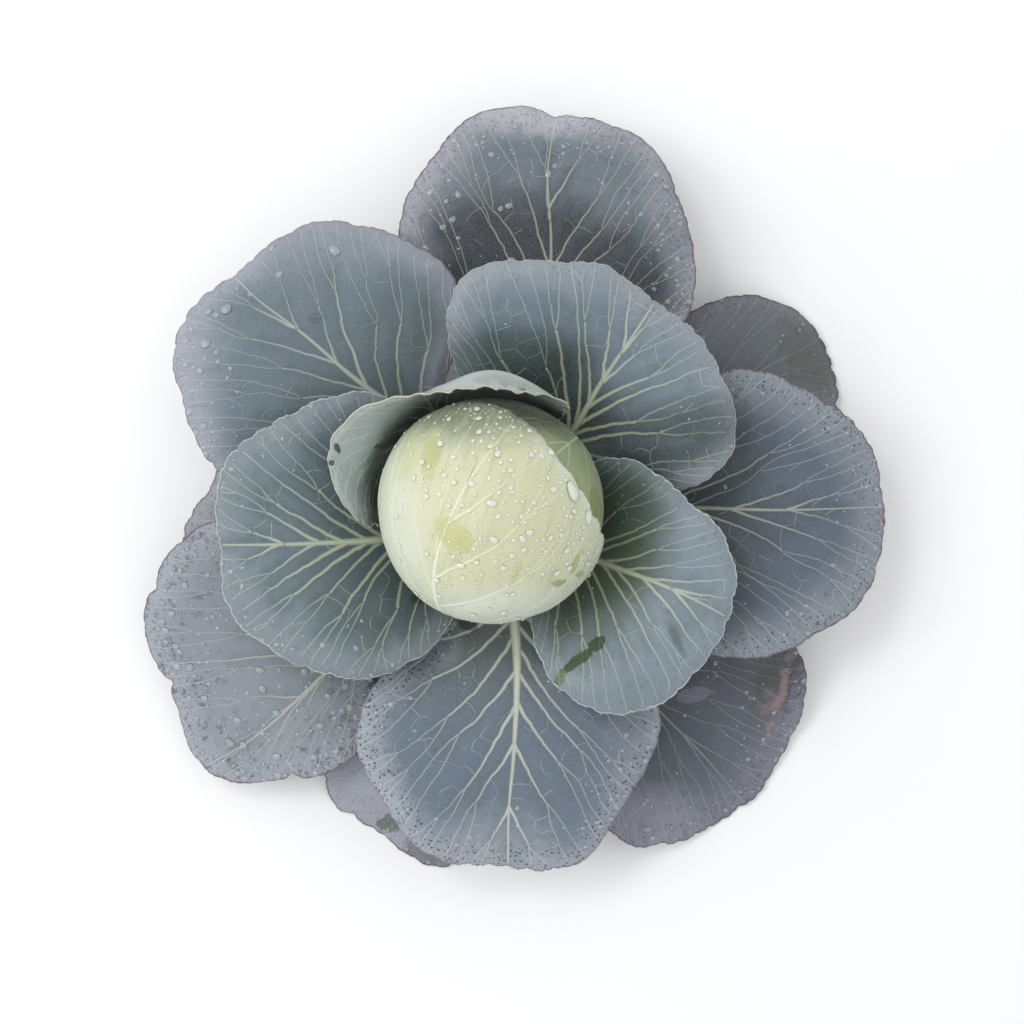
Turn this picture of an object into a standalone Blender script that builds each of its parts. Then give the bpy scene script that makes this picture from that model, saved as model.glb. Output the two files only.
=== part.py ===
"""A cabbage as picked: a ball-shaped head in a rosette of open leaves, on a short cut stem.

The stem's axis is the Z axis and its flat cut face lies at Z = 0, where the plant rests. Each leaf is an
open sheet, shaped from a grid and given its thickness by a Solidify modifier. The leaves are shaped from the
lowest to the highest, and each one is lifted clear of the ones below it.
"""

from __future__ import annotations

import math
from dataclasses import dataclass

import bmesh
import bpy
import numpy as np

MM = 0.001                      # the lengths below are in millimetres, the model is in metres

# --- driving dimensions -----------------------------------------------------------------------------------
TOUCH_GAP = 0.3                 # between pieces that touch
STEM_FOOT_RADIUS = 17.0
STEM_TOP_RADIUS = 19.5
STEM_HEIGHT = 34.0
ATTACH_RADIUS = 21.5            # where the petioles end, just off the stem

HEAD_CENTRE = (0.0, 2.0, 112.0)
HEAD_RADIUS = 77.0              # outside of the front head leaf
HEAD_LEAF_THICKNESS = 1.4
HEAD_LAYER_GAP = 1.5            # between two layers of the head, which are faceted
HEART_NECK_RADIUS = 17.0

BLADE_THICKNESS = 1.3
RIB_THICKNESS = 6.5             # midrib and petiole at the stem
RIB_TIP_THICKNESS = 1.8
RIB_WIDTH = 9.0
WAVE_FADE = 3                   # power of the reach with which the margin's waves fade towards the middle
ROLL_FADE = 8                   # the same for the margin's downward roll
CUP_WIDTH = 0.6                 # share of the blade's half width over which its sides rise
REST_GAP = 0.3                  # between a drooping leaf and the surface below
LAYER_GAP = 1.6                 # between two leaves that lie on each other
SLOPE_ALLOWANCE = 1.2           # a sloping leaf is this much thicker when measured upright
DRAPE_SLOPE = 0.9               # how steeply a leaf comes down beyond the edge of the one below
DRAPE_BLEND = 5.0               # how softly it bends there

STEM_FACETS = 32
HEART_FACETS = 28
HEART_BENDS = 14                # profile steps from the heart's top to its neck
HEAD_LEAF_CELLS = 18
LEAF_COLUMNS = 14
LEAF_ROWS = 12


@dataclass(frozen=True)
class Leaf:
    """One open leaf of the rosette, in millimetres and degrees.

    Attributes:
        name: the object's name.
        centre: place of the blade's centre, seen from above.
        azimuth: the direction in which its tip points.
        radii: the blade's outline about its centre, every 30 degrees from the tip, anticlockwise.
        spine: (distance from the stem's axis, height) of points along the midrib, from stem to tip.
        neck: half width of the winged petiole between the blade and the stem.
        bowl: 0 where the blade only rises along its midrib, 1 where it rises all round the head like a bowl.
        cup: how much higher the blade's sides are than its midrib: (anticlockwise side, clockwise side).
        roll: how far the margin turns down.
        waves: number of waves along the margin.
        wave_height: half the height of these waves.
        colour: base colour.
    """

    name: str
    centre: tuple[float, float]
    azimuth: float
    radii: tuple[float, ...]
    spine: tuple[tuple[float, float], ...]
    neck: float
    bowl: float
    cup: tuple[float, float]
    roll: float
    waves: int
    wave_height: float
    colour: tuple[float, float, float]


SLATE = (0.17, 0.21, 0.24)
GREY_GREEN = (0.20, 0.27, 0.26)
TEAL_GREEN = (0.16, 0.27, 0.23)
DARK_SLATE = (0.13, 0.15, 0.17)

# From the lowest leaf to the highest.
LEAVES = (
    Leaf("leaf_bottom_low", (-58, -176), 249, (72, 92, 86, 83, 79, 80, 82, 82, 77, 80, 70, 76),
         ((20, 8), (60, 18), (120, 28), (190, 22), (262, 0)), 22, 0.0, (3, 3), 3, 5, 2.0, DARK_SLATE),
    Leaf("leaf_left_low", (-151, -6), 181, (80, 84, 79, 79, 80, 77, 74, 77, 81, 79, 81, 66),
         ((20, 9), (60, 18), (110, 28), (170, 22), (228, 0)), 22, 0.0, (3, 3), 3, 6, 2.0, SLATE),
    Leaf("leaf_dark_right", (176, 82), 35, (85, 83, 75, 73, 72, 63, 68, 67, 73, 82, 92, 84),
         ((20, 13), (60, 25), (120, 38), (190, 38), (240, 24), (276, 4)), 22, 0.0, (4, 4), 3, 7, 2.0, DARK_SLATE),
    Leaf("leaf_bottom_right", (144, -167), 315, (70, 73, 89, 103, 98, 90, 87, 87, 84, 89, 86, 72),
         ((20, 14), (60, 24), (120, 38), (200, 38), (250, 22), (290, 1)), 22, 0.0, (3, 3), 3, 6, 2.5, DARK_SLATE),
    Leaf("leaf_lower_left", (-169, -109), 226, (84, 92, 89, 97, 87, 81, 87, 97, 108, 101, 90, 74),
         ((20, 14), (60, 26), (120, 42), (190, 45), (245, 36), (287, 22)), 22, 0.1, (4, 4), 4, 7, 2.5, SLATE),
    Leaf("leaf_top", (42, 200), 85, (89, 100, 100, 108, 100, 97, 109, 110, 114, 100, 94, 93),
         ((20, 19), (60, 32), (120, 54), (200, 64), (260, 60), (292, 50)), 24, 0.2, (5, 5), 5, 6, 2.5, SLATE),
    Leaf("leaf_right", (200, 1), 0, (80, 83, 84, 95, 108, 102, 96, 102, 112, 101, 90, 86),
         ((20, 20), (60, 34), (120, 58), (200, 72), (250, 68), (282, 58)), 24, 0.2, (6, 6), 5, 7, 2.0, SLATE),
    Leaf("leaf_upper_left", (-121, 113), 136, (83, 99, 103, 110, 106, 81, 80, 86, 105, 101, 92, 87),
         ((20, 21), (60, 36), (110, 64), (170, 79), (220, 80), (250, 72)), 26, 0.3, (6, 6), 5, 6, 2.5, GREY_GREEN),
    Leaf("leaf_bottom", (11, -164), 270, (89, 99, 91, 104, 104, 91, 86, 88, 100, 106, 96, 96),
         ((20, 22), (60, 38), (110, 66), (164, 77), (215, 75), (255, 64)), 32, 0.3, (6, 6), 5, 6, 2.5, GREY_GREEN),
    Leaf("leaf_upper_right", (67, 95), 52, (65, 73, 80, 106, 96, 73, 53, 59, 83, 110, 93, 75),
         ((20, 26), (50, 40), (80, 72), (120, 100), (160, 114), (184, 112)), 24, 0.7, (10, 12), 5, 5, 2.0, TEAL_GREEN),
    Leaf("leaf_left", (-112, -19), 182, (77, 83, 85, 93, 102, 98, 80, 81, 104, 97, 88, 86),
         ((20, 26), (50, 40), (80, 70), (120, 92), (170, 101), (192, 97)), 24, 0.7, (12, 10), 5, 6, 2.0, TEAL_GREEN),
    Leaf("leaf_lower_right", (93, -50), 340, (72, 72, 70, 75, 88, 66, 55, 65, 79, 87, 84, 75),
         ((20, 27), (50, 40), (75, 66), (100, 90), (140, 110), (178, 110)), 24, 0.8, (24, 10), 7, 5, 2.0, TEAL_GREEN),
)


@dataclass(frozen=True)
class HeadLeaf:
    """One leaf that wraps the head, as a cap of the ball, in millimetres and degrees.

    Attributes:
        name: the object's name.
        azimuth: where the cap's middle faces.
        elevation: how high above the horizon the cap's middle faces.
        radius: the mid-surface's distance from the head's centre.
        reach: angles from the cap's middle to its margin, every 30 degrees from the top, towards the right of
            someone who looks at the cap from outside.
        flare: how far the margin stands off the ball, as a share of its radius.
        flare_bearing: where on the margin it stands off most, in degrees from the top.
        colour: base colour.
    """

    name: str
    azimuth: float
    elevation: float
    radius: float
    reach: tuple[float, ...]
    flare: float
    flare_bearing: float
    colour: tuple[float, float, float]


FRONT_RADIUS = HEAD_RADIUS - 0.5 * HEAD_LEAF_THICKNESS
LAYER_STEP = HEAD_LEAF_THICKNESS + HEAD_LAYER_GAP
HEAD_LEAVES = (
    HeadLeaf("head_leaf_front", 250, 30, FRONT_RADIUS,
             (114, 99, 92, 92, 90, 97, 104, 103, 105, 115, 120, 123), 0.05, 88, (0.47, 0.52, 0.33)),
    HeadLeaf("head_leaf_back", 40, 15, FRONT_RADIUS - LAYER_STEP,
             (85, 95, 100, 95, 85, 80, 88, 80, 85, 95, 100, 95), 0.0, 0, (0.40, 0.47, 0.32)),
)
HEART_RADIUS = FRONT_RADIUS - 2 * LAYER_STEP + 0.5 * HEAD_LEAF_THICKNESS
FLARE_FADE = 6                  # power of the reach with which the flare fades towards the cap's middle
FLARE_SPREAD = 0.7              # half width of the flare along the margin, in radians

# The curled wrapper leaf: (azimuth, then (distance from the axis, height) from its base to its margin).
WRAPPER_STATIONS = (
    (52, ((22, 31), (50, 45), (76, 78), (85, 112), (89, 132))),
    (86, ((22, 31), (50, 45), (80, 84), (93, 150), (79, 150))),
    (120, ((22, 31), (50, 45), (82, 86), (91, 124), (89, 150))),
    (154, ((22, 31), (50, 45), (82, 84), (96, 112), (118, 136))),
    (188, ((22, 31), (50, 45), (76, 76), (83, 96), (92, 112))),
)
WRAPPER_BASE_SHARE = 0.4        # width of its base, as a share of the angle that its blade spans
WRAPPER_RIB_THICKNESS = 2.5     # what its midrib adds at the base
WRAPPER_COLUMNS = 18
WRAPPER_ROWS = 12


# --- shape functions --------------------------------------------------------------------------------------
def periodic(samples: tuple[float, ...], angle: np.ndarray) -> np.ndarray:
    """Return the smooth periodic curve through evenly spaced samples, at angles in radians."""
    count = len(samples)
    spectrum = np.fft.rfft(samples) / count
    value = np.full_like(angle, spectrum[0].real)
    for order in range(1, count // 2 + 1):
        weight = 1.0 if 2 * order == count else 2.0
        value += weight * (spectrum[order] * np.exp(1j * order * angle)).real
    return value


def curve(points: tuple[tuple[float, float], ...], at: np.ndarray) -> np.ndarray:
    """Return the smooth curve through (x, y) points, with the slopes of their neighbours, at given x."""
    xs = np.array([point[0] for point in points], dtype=float)
    ys = np.array([point[1] for point in points], dtype=float)
    slopes = np.gradient(ys, xs)
    x = np.clip(at, xs[0], xs[-1])
    left = np.clip(np.searchsorted(xs, x, side="right") - 1, 0, len(xs) - 2)
    width = xs[left + 1] - xs[left]
    t = (x - xs[left]) / width
    rise = ys[left] * (1 + 2 * t) * (1 - t) ** 2 + ys[left + 1] * t * t * (3 - 2 * t)
    bend = slopes[left] * t * (1 - t) ** 2 - slopes[left + 1] * t * t * (1 - t)
    return rise + bend * width


def smooth_max(first: np.ndarray, second: np.ndarray, blend: float) -> np.ndarray:
    """Return the larger of two values, with a soft bend where they are equal."""
    return 0.5 * (first + second + np.sqrt((first - second) ** 2 + blend ** 2))


def disc(u: np.ndarray, v: np.ndarray) -> tuple[np.ndarray, np.ndarray]:
    """Map a square to a unit disc; returns the radius and the angle from +v, positive towards -u."""
    x = u * np.sqrt(1 - 0.5 * v * v)
    y = v * np.sqrt(1 - 0.5 * u * u)
    return np.hypot(x, y), np.arctan2(-x, y)


class LeafSurface:
    """The middle surface of one open leaf: its outline, its height and its thickness."""

    def __init__(self, leaf: Leaf) -> None:
        self.leaf = leaf
        self.heading = math.radians(leaf.azimuth)
        self.centre = np.array(leaf.centre, dtype=float)
        distance = float(np.hypot(*self.centre))
        self.base_angle = math.atan2(-self.centre[1], -self.centre[0]) - self.heading
        self.base_reach = distance - ATTACH_RADIUS
        self.base_spread = leaf.neck / self.base_reach
        self.swing = math.remainder(self.base_angle - math.pi, 2 * math.pi)

    def reach(self, angle: np.ndarray) -> np.ndarray:
        """Return the outline's distance from the blade's centre, at angles from the tip's direction."""
        blade = periodic(self.leaf.radii, angle)
        at_base = float(periodic(self.leaf.radii, np.array([self.base_angle]))[0])
        off = np.angle(np.exp(1j * (angle - self.base_angle)))
        return blade + (self.base_reach - at_base) * np.exp(-0.5 * (off / self.base_spread) ** 2)

    def swung(self, angle: np.ndarray) -> np.ndarray:
        """Return angles turned so that the end opposite the tip points at the stem."""
        return angle + 0.5 * self.swing * (1 - np.cos(angle))

    def plan(self, share: np.ndarray, angle: np.ndarray) -> tuple[np.ndarray, np.ndarray]:
        """Return the place seen from above of a point at a share of the reach."""
        radius = share * self.reach(angle)
        turned = angle + self.heading
        return self.centre[0] + radius * np.cos(turned), self.centre[1] + radius * np.sin(turned)

    def polar(self, x: np.ndarray, y: np.ndarray) -> tuple[np.ndarray, np.ndarray, np.ndarray]:
        """Return share of the reach, angle, and distance beyond the outline, of places seen from above."""
        dx, dy = x - self.centre[0], y - self.centre[1]
        angle = np.arctan2(dy, dx) - self.heading
        reach = self.reach(angle)
        radius = np.hypot(dx, dy)
        return np.minimum(radius / reach, 1.0), angle, np.maximum(radius - reach, 0.0)

    def across(self, x: np.ndarray, y: np.ndarray) -> tuple[np.ndarray, np.ndarray]:
        """Return the distance from the stem's axis and the distance to the side of the midrib."""
        base = math.atan2(self.centre[1], self.centre[0])
        along = x * math.cos(base) + y * math.sin(base)
        side = -x * math.sin(base) + y * math.cos(base)
        return along, side

    def design_height(self, share: np.ndarray, angle: np.ndarray) -> np.ndarray:
        """Return the height that the leaf has where nothing below lifts it."""
        x, y = self.plan(share, angle)
        along, side = self.across(x, y)
        half_width = float(np.mean(self.leaf.radii))
        outward = along + self.leaf.bowl * (np.hypot(x, y) - along)
        cup = np.where(side > 0, self.leaf.cup[0], self.leaf.cup[1])
        rise = 1 - np.exp(-(side / (CUP_WIDTH * half_width)) ** 2)
        height = curve(self.leaf.spine, outward) + cup * rise
        waves = self.leaf.wave_height * np.cos(self.leaf.waves * angle + self.heading)
        return height + share ** WAVE_FADE * waves - self.leaf.roll * share ** ROLL_FADE

    def thickness(self, x: np.ndarray, y: np.ndarray) -> np.ndarray:
        """Return the leaf's thickness: a thin blade, with a midrib that tapers from stem to tip."""
        along, side = self.across(x, y)
        tip = self.leaf.spine[-1][0]
        share = np.clip((along - ATTACH_RADIUS) / (tip - ATTACH_RADIUS), 0, 1)
        rib = RIB_TIP_THICKNESS + (RIB_THICKNESS - RIB_TIP_THICKNESS) * (1 - share) ** 2
        return BLADE_THICKNESS + (rib - BLADE_THICKNESS) * np.exp(-(side / RIB_WIDTH) ** 2)


SURFACES = tuple(LeafSurface(leaf) for leaf in LEAVES)


def layered_height(index: int, x: np.ndarray, y: np.ndarray) -> np.ndarray:
    """Return the height of one leaf at places seen from above, lifted clear of all the leaves below it."""
    top = None
    settled: list[np.ndarray] = []
    for surface in SURFACES[:index + 1]:
        share, angle, beyond = surface.polar(x, y)
        thickness = surface.thickness(x, y)
        height = surface.design_height(share, angle)
        height = smooth_max(height, REST_GAP + 0.5 * thickness, DRAPE_BLEND)
        for lower, lower_surface in zip(settled, SURFACES):
            clear = 0.5 * SLOPE_ALLOWANCE * (thickness + lower_surface.thickness(x, y)) + LAYER_GAP
            height = smooth_max(height, lower + clear, DRAPE_BLEND)
        settled.append(height - DRAPE_SLOPE * beyond)
        top = height
    return top


# --- Blender helpers --------------------------------------------------------------------------------------
def clear_scene() -> None:
    """Remove the objects that the scene starts with."""
    for found in list(bpy.data.objects):
        bpy.data.objects.remove(found, do_unlink=True)


def material(name: str, colour: tuple[float, float, float]) -> bpy.types.Material:
    """Return a waxy leaf material with a base colour."""
    made = bpy.data.materials.new(name)
    made.use_nodes = True
    shader = made.node_tree.nodes["Principled BSDF"]
    shader.inputs["Base Color"].default_value = (*colour, 1.0)
    shader.inputs["Roughness"].default_value = 0.55
    shader.inputs["Metallic"].default_value = 0.0
    made.diffuse_color = (*colour, 1.0)
    return made


def add_object(name: str, mesh: bpy.types.Mesh, colour: tuple[float, float, float],
               collection: bpy.types.Collection) -> bpy.types.Object:
    """Link a mesh into the cabbage's collection as a named object with its own material."""
    made = bpy.data.objects.new(name, mesh)
    collection.objects.link(made)
    mesh.materials.append(material(f"{name}_material", colour))
    mesh.shade_smooth()
    return made


def grid_sheet(name: str, columns: int, rows: int) -> tuple[bpy.types.Mesh, np.ndarray, np.ndarray]:
    """Return a square grid mesh, and its vertices' coordinates from -1 to 1."""
    shape = bmesh.new()
    bmesh.ops.create_grid(shape, x_segments=columns, y_segments=rows, size=1.0)
    mesh = bpy.data.meshes.new(name)
    shape.to_mesh(mesh)
    shape.free()
    flat = np.empty(3 * len(mesh.vertices))
    mesh.vertices.foreach_get("co", flat)
    points = flat.reshape(-1, 3)
    return mesh, np.clip(points[:, 0], -1, 1), np.clip(points[:, 1], -1, 1)


def move_vertices(mesh: bpy.types.Mesh, x: np.ndarray, y: np.ndarray, z: np.ndarray) -> None:
    """Place a mesh's vertices, given in millimetres."""
    mesh.vertices.foreach_set("co", (np.column_stack((x, y, z)) * MM).ravel())
    mesh.update()


def solidify(target: bpy.types.Object, thickness: np.ndarray) -> None:
    """Give a sheet its thickness, in millimetres at each vertex, half to each side."""
    group = target.vertex_groups.new(name="thickness")
    thickest = float(thickness.max())
    for index, value in enumerate(thickness):
        group.add([index], float(value) / thickest, "REPLACE")
    wall = target.modifiers.new("thickness", "SOLIDIFY")
    wall.thickness = thickest * MM
    wall.offset = 0.0
    wall.vertex_group = group.name


def screw(name: str, profile: list[tuple[float, float]], steps: int,
          colour: tuple[float, float, float], collection: bpy.types.Collection) -> bpy.types.Object:
    """Return a solid turned about Z from a profile of (radius, height) in millimetres, top to bottom."""
    mesh = bpy.data.meshes.new(name)
    points = [(radius * MM, 0.0, height * MM) for radius, height in profile]
    edges = [(index, index + 1) for index in range(len(points) - 1)]
    mesh.from_pydata(points, edges, [])
    made = add_object(name, mesh, colour, collection)
    turn = made.modifiers.new("turn", "SCREW")
    turn.steps = steps
    turn.render_steps = steps
    turn.use_merge_vertices = True
    turn.merge_threshold = 0.00001
    turn.use_smooth_shade = True
    return made


# --- the pieces -------------------------------------------------------------------------------------------
def make_stem(collection: bpy.types.Collection) -> None:
    """Make the stump: a short, slightly waisted cylinder with a flat cut face at Z = 0."""
    profile = [
        (0.0, STEM_HEIGHT),
        (STEM_TOP_RADIUS - 1.5, STEM_HEIGHT),
        (STEM_TOP_RADIUS, STEM_HEIGHT - 2.0),
        (STEM_TOP_RADIUS, 0.45 * STEM_HEIGHT),
        (STEM_FOOT_RADIUS, 0.1 * STEM_HEIGHT),
        (STEM_FOOT_RADIUS, 0.0),
        (0.0, 0.0),
    ]
    screw("cut_stem", profile, STEM_FACETS, (0.55, 0.58, 0.42), collection)


def make_heart(collection: bpy.types.Collection) -> None:
    """Make the packed inner leaves: a ball with a short neck that stands on the stem."""
    centre_height = HEAD_CENTRE[2]
    neck_height = STEM_HEIGHT + TOUCH_GAP
    neck_angle = math.asin(HEART_NECK_RADIUS / HEART_RADIUS)
    profile = []
    for step in range(HEART_BENDS + 1):
        angle = (math.pi - neck_angle) * step / HEART_BENDS
        profile.append((HEART_RADIUS * math.sin(angle), centre_height + HEART_RADIUS * math.cos(angle)))
    profile[0] = (0.0, centre_height + HEART_RADIUS)
    profile += [(HEART_NECK_RADIUS, neck_height), (0.0, neck_height)]
    heart = screw("heart", profile, HEART_FACETS, (0.62, 0.66, 0.42), collection)
    heart.location = (HEAD_CENTRE[0] * MM, HEAD_CENTRE[1] * MM, 0.0)


def make_head_leaf(leaf: HeadLeaf, collection: bpy.types.Collection) -> None:
    """Make one leaf that wraps the head."""
    mesh, u, v = grid_sheet(leaf.name, HEAD_LEAF_CELLS, HEAD_LEAF_CELLS)
    share, angle = disc(u, v)
    bearing = -angle
    away = share * np.radians(periodic(leaf.reach, bearing))
    azimuth, elevation = math.radians(leaf.azimuth), math.radians(leaf.elevation)
    out = np.array([math.cos(elevation) * math.cos(azimuth), math.cos(elevation) * math.sin(azimuth),
                    math.sin(elevation)])
    up = np.array([-math.sin(elevation) * math.cos(azimuth), -math.sin(elevation) * math.sin(azimuth),
                   math.cos(elevation)])
    right = np.cross(up, out)
    side = np.outer(np.cos(bearing), up) + np.outer(np.sin(bearing), right)
    direction = np.outer(np.cos(away), out) + np.sin(away)[:, None] * side
    turn = np.angle(np.exp(1j * (bearing - math.radians(leaf.flare_bearing))))
    lift = 1 + leaf.flare * share ** FLARE_FADE * np.exp(-0.5 * (turn / FLARE_SPREAD) ** 2)
    points = np.array(HEAD_CENTRE) + direction * (leaf.radius * lift)[:, None]
    move_vertices(mesh, points[:, 0], points[:, 1], points[:, 2])
    made = add_object(leaf.name, mesh, leaf.colour, collection)
    solidify(made, np.full(len(u), HEAD_LEAF_THICKNESS))


def make_wrapper(collection: bpy.types.Collection) -> None:
    """Make the leaf that stands around one side of the head with its margin curled in."""
    mesh, u, v = grid_sheet("curled_wrapper_leaf", WRAPPER_COLUMNS, WRAPPER_ROWS)
    along = 0.5 * (v + 1)
    azimuths = [station[0] for station in WRAPPER_STATIONS]
    middle, half_span = 0.5 * (azimuths[0] + azimuths[-1]), 0.5 * (azimuths[-1] - azimuths[0])
    station_angle = middle + half_span * u
    width = WRAPPER_BASE_SHARE + (1 - WRAPPER_BASE_SHARE) * np.sin(0.5 * math.pi * np.clip(2 * along, 0, 1))
    azimuth = np.radians(middle + half_span * u * width)
    knots = np.linspace(0, 1, len(WRAPPER_STATIONS[0][1]))
    radius = np.empty_like(along)
    height = np.empty_like(along)
    for index in range(len(along)):
        sections = []
        for axis in (0, 1):
            through = []
            for place, knot in enumerate(knots):
                ring = tuple((station[0], station[1][place][axis]) for station in WRAPPER_STATIONS)
                through.append((knot, float(curve(ring, station_angle[index:index + 1])[0])))
            sections.append(float(curve(tuple(through), along[index:index + 1])[0]))
        radius[index], height[index] = sections
    x, y = radius * np.cos(azimuth), radius * np.sin(azimuth)
    move_vertices(mesh, x, y, height)
    made = add_object("curled_wrapper_leaf", mesh, TEAL_GREEN, collection)
    rib = np.exp(-((azimuth - math.radians(middle)) * radius / RIB_WIDTH) ** 2) * (1 - along) ** 2
    solidify(made, BLADE_THICKNESS + WRAPPER_RIB_THICKNESS * rib)


def make_leaf(index: int, collection: bpy.types.Collection) -> None:
    """Make one open leaf of the rosette."""
    surface = SURFACES[index]
    mesh, u, v = grid_sheet(surface.leaf.name, LEAF_COLUMNS, LEAF_ROWS)
    share, angle = disc(u * np.sqrt(np.abs(u)), v)
    x, y = surface.plan(share, surface.swung(angle))
    move_vertices(mesh, x, y, layered_height(index, x, y))
    made = add_object(surface.leaf.name, mesh, surface.leaf.colour, collection)
    solidify(made, surface.thickness(x, y))


def main() -> None:
    """Build the cabbage."""
    clear_scene()
    collection = bpy.data.collections.new("cabbage")
    bpy.context.scene.collection.children.link(collection)
    make_stem(collection)
    make_heart(collection)
    for leaf in HEAD_LEAVES:
        make_head_leaf(leaf, collection)
    make_wrapper(collection)
    for index in range(len(LEAVES)):
        make_leaf(index, collection)


main()
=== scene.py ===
"""The looks of a whole cabbage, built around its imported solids.

Every leaf is a fine sheet over a flat chart in millimetres. The same chart carries its network of veins, its
quilted relief, its margin and the drops of dew that lie on it.
"""

from __future__ import annotations

import logging
import math
from abc import ABC, abstractmethod
from dataclasses import dataclass, field, replace
from enum import Enum
from typing import Any

import bmesh
import bpy
import numpy as np
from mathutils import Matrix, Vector
from mathutils.bvhtree import BVHTree
from mathutils.geometry import delaunay_2d_cdt
from mathutils.kdtree import KDTree


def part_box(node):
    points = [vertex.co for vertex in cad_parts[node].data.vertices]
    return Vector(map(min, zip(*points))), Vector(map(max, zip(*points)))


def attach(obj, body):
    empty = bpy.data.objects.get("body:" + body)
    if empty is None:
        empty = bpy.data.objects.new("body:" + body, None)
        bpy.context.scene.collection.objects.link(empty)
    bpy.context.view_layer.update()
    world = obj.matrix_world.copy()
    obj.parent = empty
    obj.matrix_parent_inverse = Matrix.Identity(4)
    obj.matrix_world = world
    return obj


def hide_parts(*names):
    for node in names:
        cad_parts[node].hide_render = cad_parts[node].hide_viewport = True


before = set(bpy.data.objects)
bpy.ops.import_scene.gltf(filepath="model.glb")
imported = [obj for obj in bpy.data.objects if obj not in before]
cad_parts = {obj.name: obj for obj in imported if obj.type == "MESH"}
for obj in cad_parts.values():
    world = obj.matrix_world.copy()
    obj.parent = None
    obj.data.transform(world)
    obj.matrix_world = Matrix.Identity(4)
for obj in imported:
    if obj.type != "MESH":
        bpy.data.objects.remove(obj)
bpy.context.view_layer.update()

LOG = logging.getLogger("cabbage")
MM = 0.001

# --- the plant's dimensions, as in its solids, in millimetres ---------------------------------------------
ATTACH_RADIUS = 21.5
HEAD_CENTRE = np.array((0.0, 2.0, 112.0))
HEAD_RADIUS = 77.0
BLADE_THICKNESS = 1.3
RIB_THICKNESS = 6.5
RIB_TIP_THICKNESS = 1.8
RIB_WIDTH = 9.0
WAVE_FADE = 3
ROLL_FADE = 8
CUP_WIDTH = 0.6
REST_GAP = 0.3
LAYER_GAP = 1.6
SLOPE_ALLOWANCE = 1.2
DRAPE_SLOPE = 0.9
DRAPE_BLEND = 5.0

SHEET_THICKNESS = 0.9           # of a dressed leaf's blade
CHART_STEP = 0.4                # for slopes
RIPPLE_FADE = 6                 # power of the reach with which the margin's ripples fade inwards
HEAD_COVER = 8                  # how far around the head nothing of the leaves below is seen
LEAF_CELLS = 76
HEAD_CELLS = 96
WRAPPER_CELLS = 84


class Slot(Enum):
    """The record's material slots."""

    STEM = "stem_flesh"
    HEART = "heart_leaf"
    HEAD = "head_leaf"
    INNER = "inner_leaf"
    OUTER = "outer_leaf"
    LOW = "low_leaf"
    VEIN = "leaf_vein"
    WATER = "water"


# --- curves -----------------------------------------------------------------------------------------------
def periodic(samples: tuple[float, ...], angle: np.ndarray) -> np.ndarray:
    """Return the smooth periodic curve through evenly spaced samples.

    Args:
        samples: values at evenly spaced angles, from angle 0.
        angle: where to read the curve, in radians.

    Returns:
        The curve's value at each angle.
    """
    count = len(samples)
    spectrum = np.fft.rfft(samples) / count
    value = np.full_like(angle, spectrum[0].real)
    for order in range(1, count // 2 + 1):
        weight = 1.0 if 2 * order == count else 2.0
        value += weight * (spectrum[order] * np.exp(1j * order * angle)).real
    return value


def curve(xs: np.ndarray, ys: np.ndarray, at: np.ndarray) -> np.ndarray:
    """Return the smooth curve through points, with the slopes of their neighbours.

    Args:
        xs: the points' places, rising.
        ys: the points' values, one row a point; a row holds one value, or one for each place read.
        at: the places to read.

    Returns:
        The curve's value at each place.
    """
    xs = np.asarray(xs, dtype=float)
    ys = np.asarray(ys, dtype=float)
    if ys.ndim == 1:
        ys = np.repeat(ys[:, None], len(at), axis=1)
    slopes = np.gradient(ys, xs, axis=0)
    x = np.clip(at, xs[0], xs[-1])
    left = np.clip(np.searchsorted(xs, x, side="right") - 1, 0, len(xs) - 2)
    column = np.arange(len(at))
    width = xs[left + 1] - xs[left]
    t = (x - xs[left]) / width
    rise = ys[left, column] * (1 + 2 * t) * (1 - t) ** 2 + ys[left + 1, column] * t * t * (3 - 2 * t)
    bend = slopes[left, column] * t * (1 - t) ** 2 - slopes[left + 1, column] * t * t * (1 - t)
    return rise + bend * width


def smooth_max(first: np.ndarray, second: np.ndarray, blend: float) -> np.ndarray:
    """Return the larger of two values, with a soft bend where they are equal."""
    return 0.5 * (first + second + np.sqrt((first - second) ** 2 + blend ** 2))


def smooth_step(low: float, high: float, value: np.ndarray) -> np.ndarray:
    """Return 0 below low, 1 above high, and a soft rise between them."""
    t = np.clip((value - low) / (high - low), 0, 1)
    return t * t * (3 - 2 * t)


def disc(u: np.ndarray, v: np.ndarray) -> tuple[np.ndarray, np.ndarray]:
    """Map a square to a unit disc; returns the radius and the angle from +v, positive towards -u."""
    x = u * np.sqrt(1 - 0.5 * v * v)
    y = v * np.sqrt(1 - 0.5 * u * u)
    return np.hypot(x, y), np.arctan2(-x, y)


def unit(vector: np.ndarray) -> np.ndarray:
    """Return vectors of length one, along the last axis."""
    return vector / np.maximum(np.linalg.norm(vector, axis=-1, keepdims=True), 1e-9)


def turned(vector: np.ndarray, angle: float) -> np.ndarray:
    """Return a chart vector turned to the left by an angle in radians."""
    cosine, sine = math.cos(angle), math.sin(angle)
    return np.array((cosine * vector[0] - sine * vector[1], sine * vector[0] + cosine * vector[1]))


# --- the leaves' tables -----------------------------------------------------------------------------------
@dataclass(frozen=True)
class Nick:
    """A notch in a leaf's margin.

    Attributes:
        angle: where it lies, in degrees from the tip, to the left.
        depth: how deep it is, in millimetres.
        width: its half width in degrees.
    """

    angle: float
    depth: float
    width: float


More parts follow.
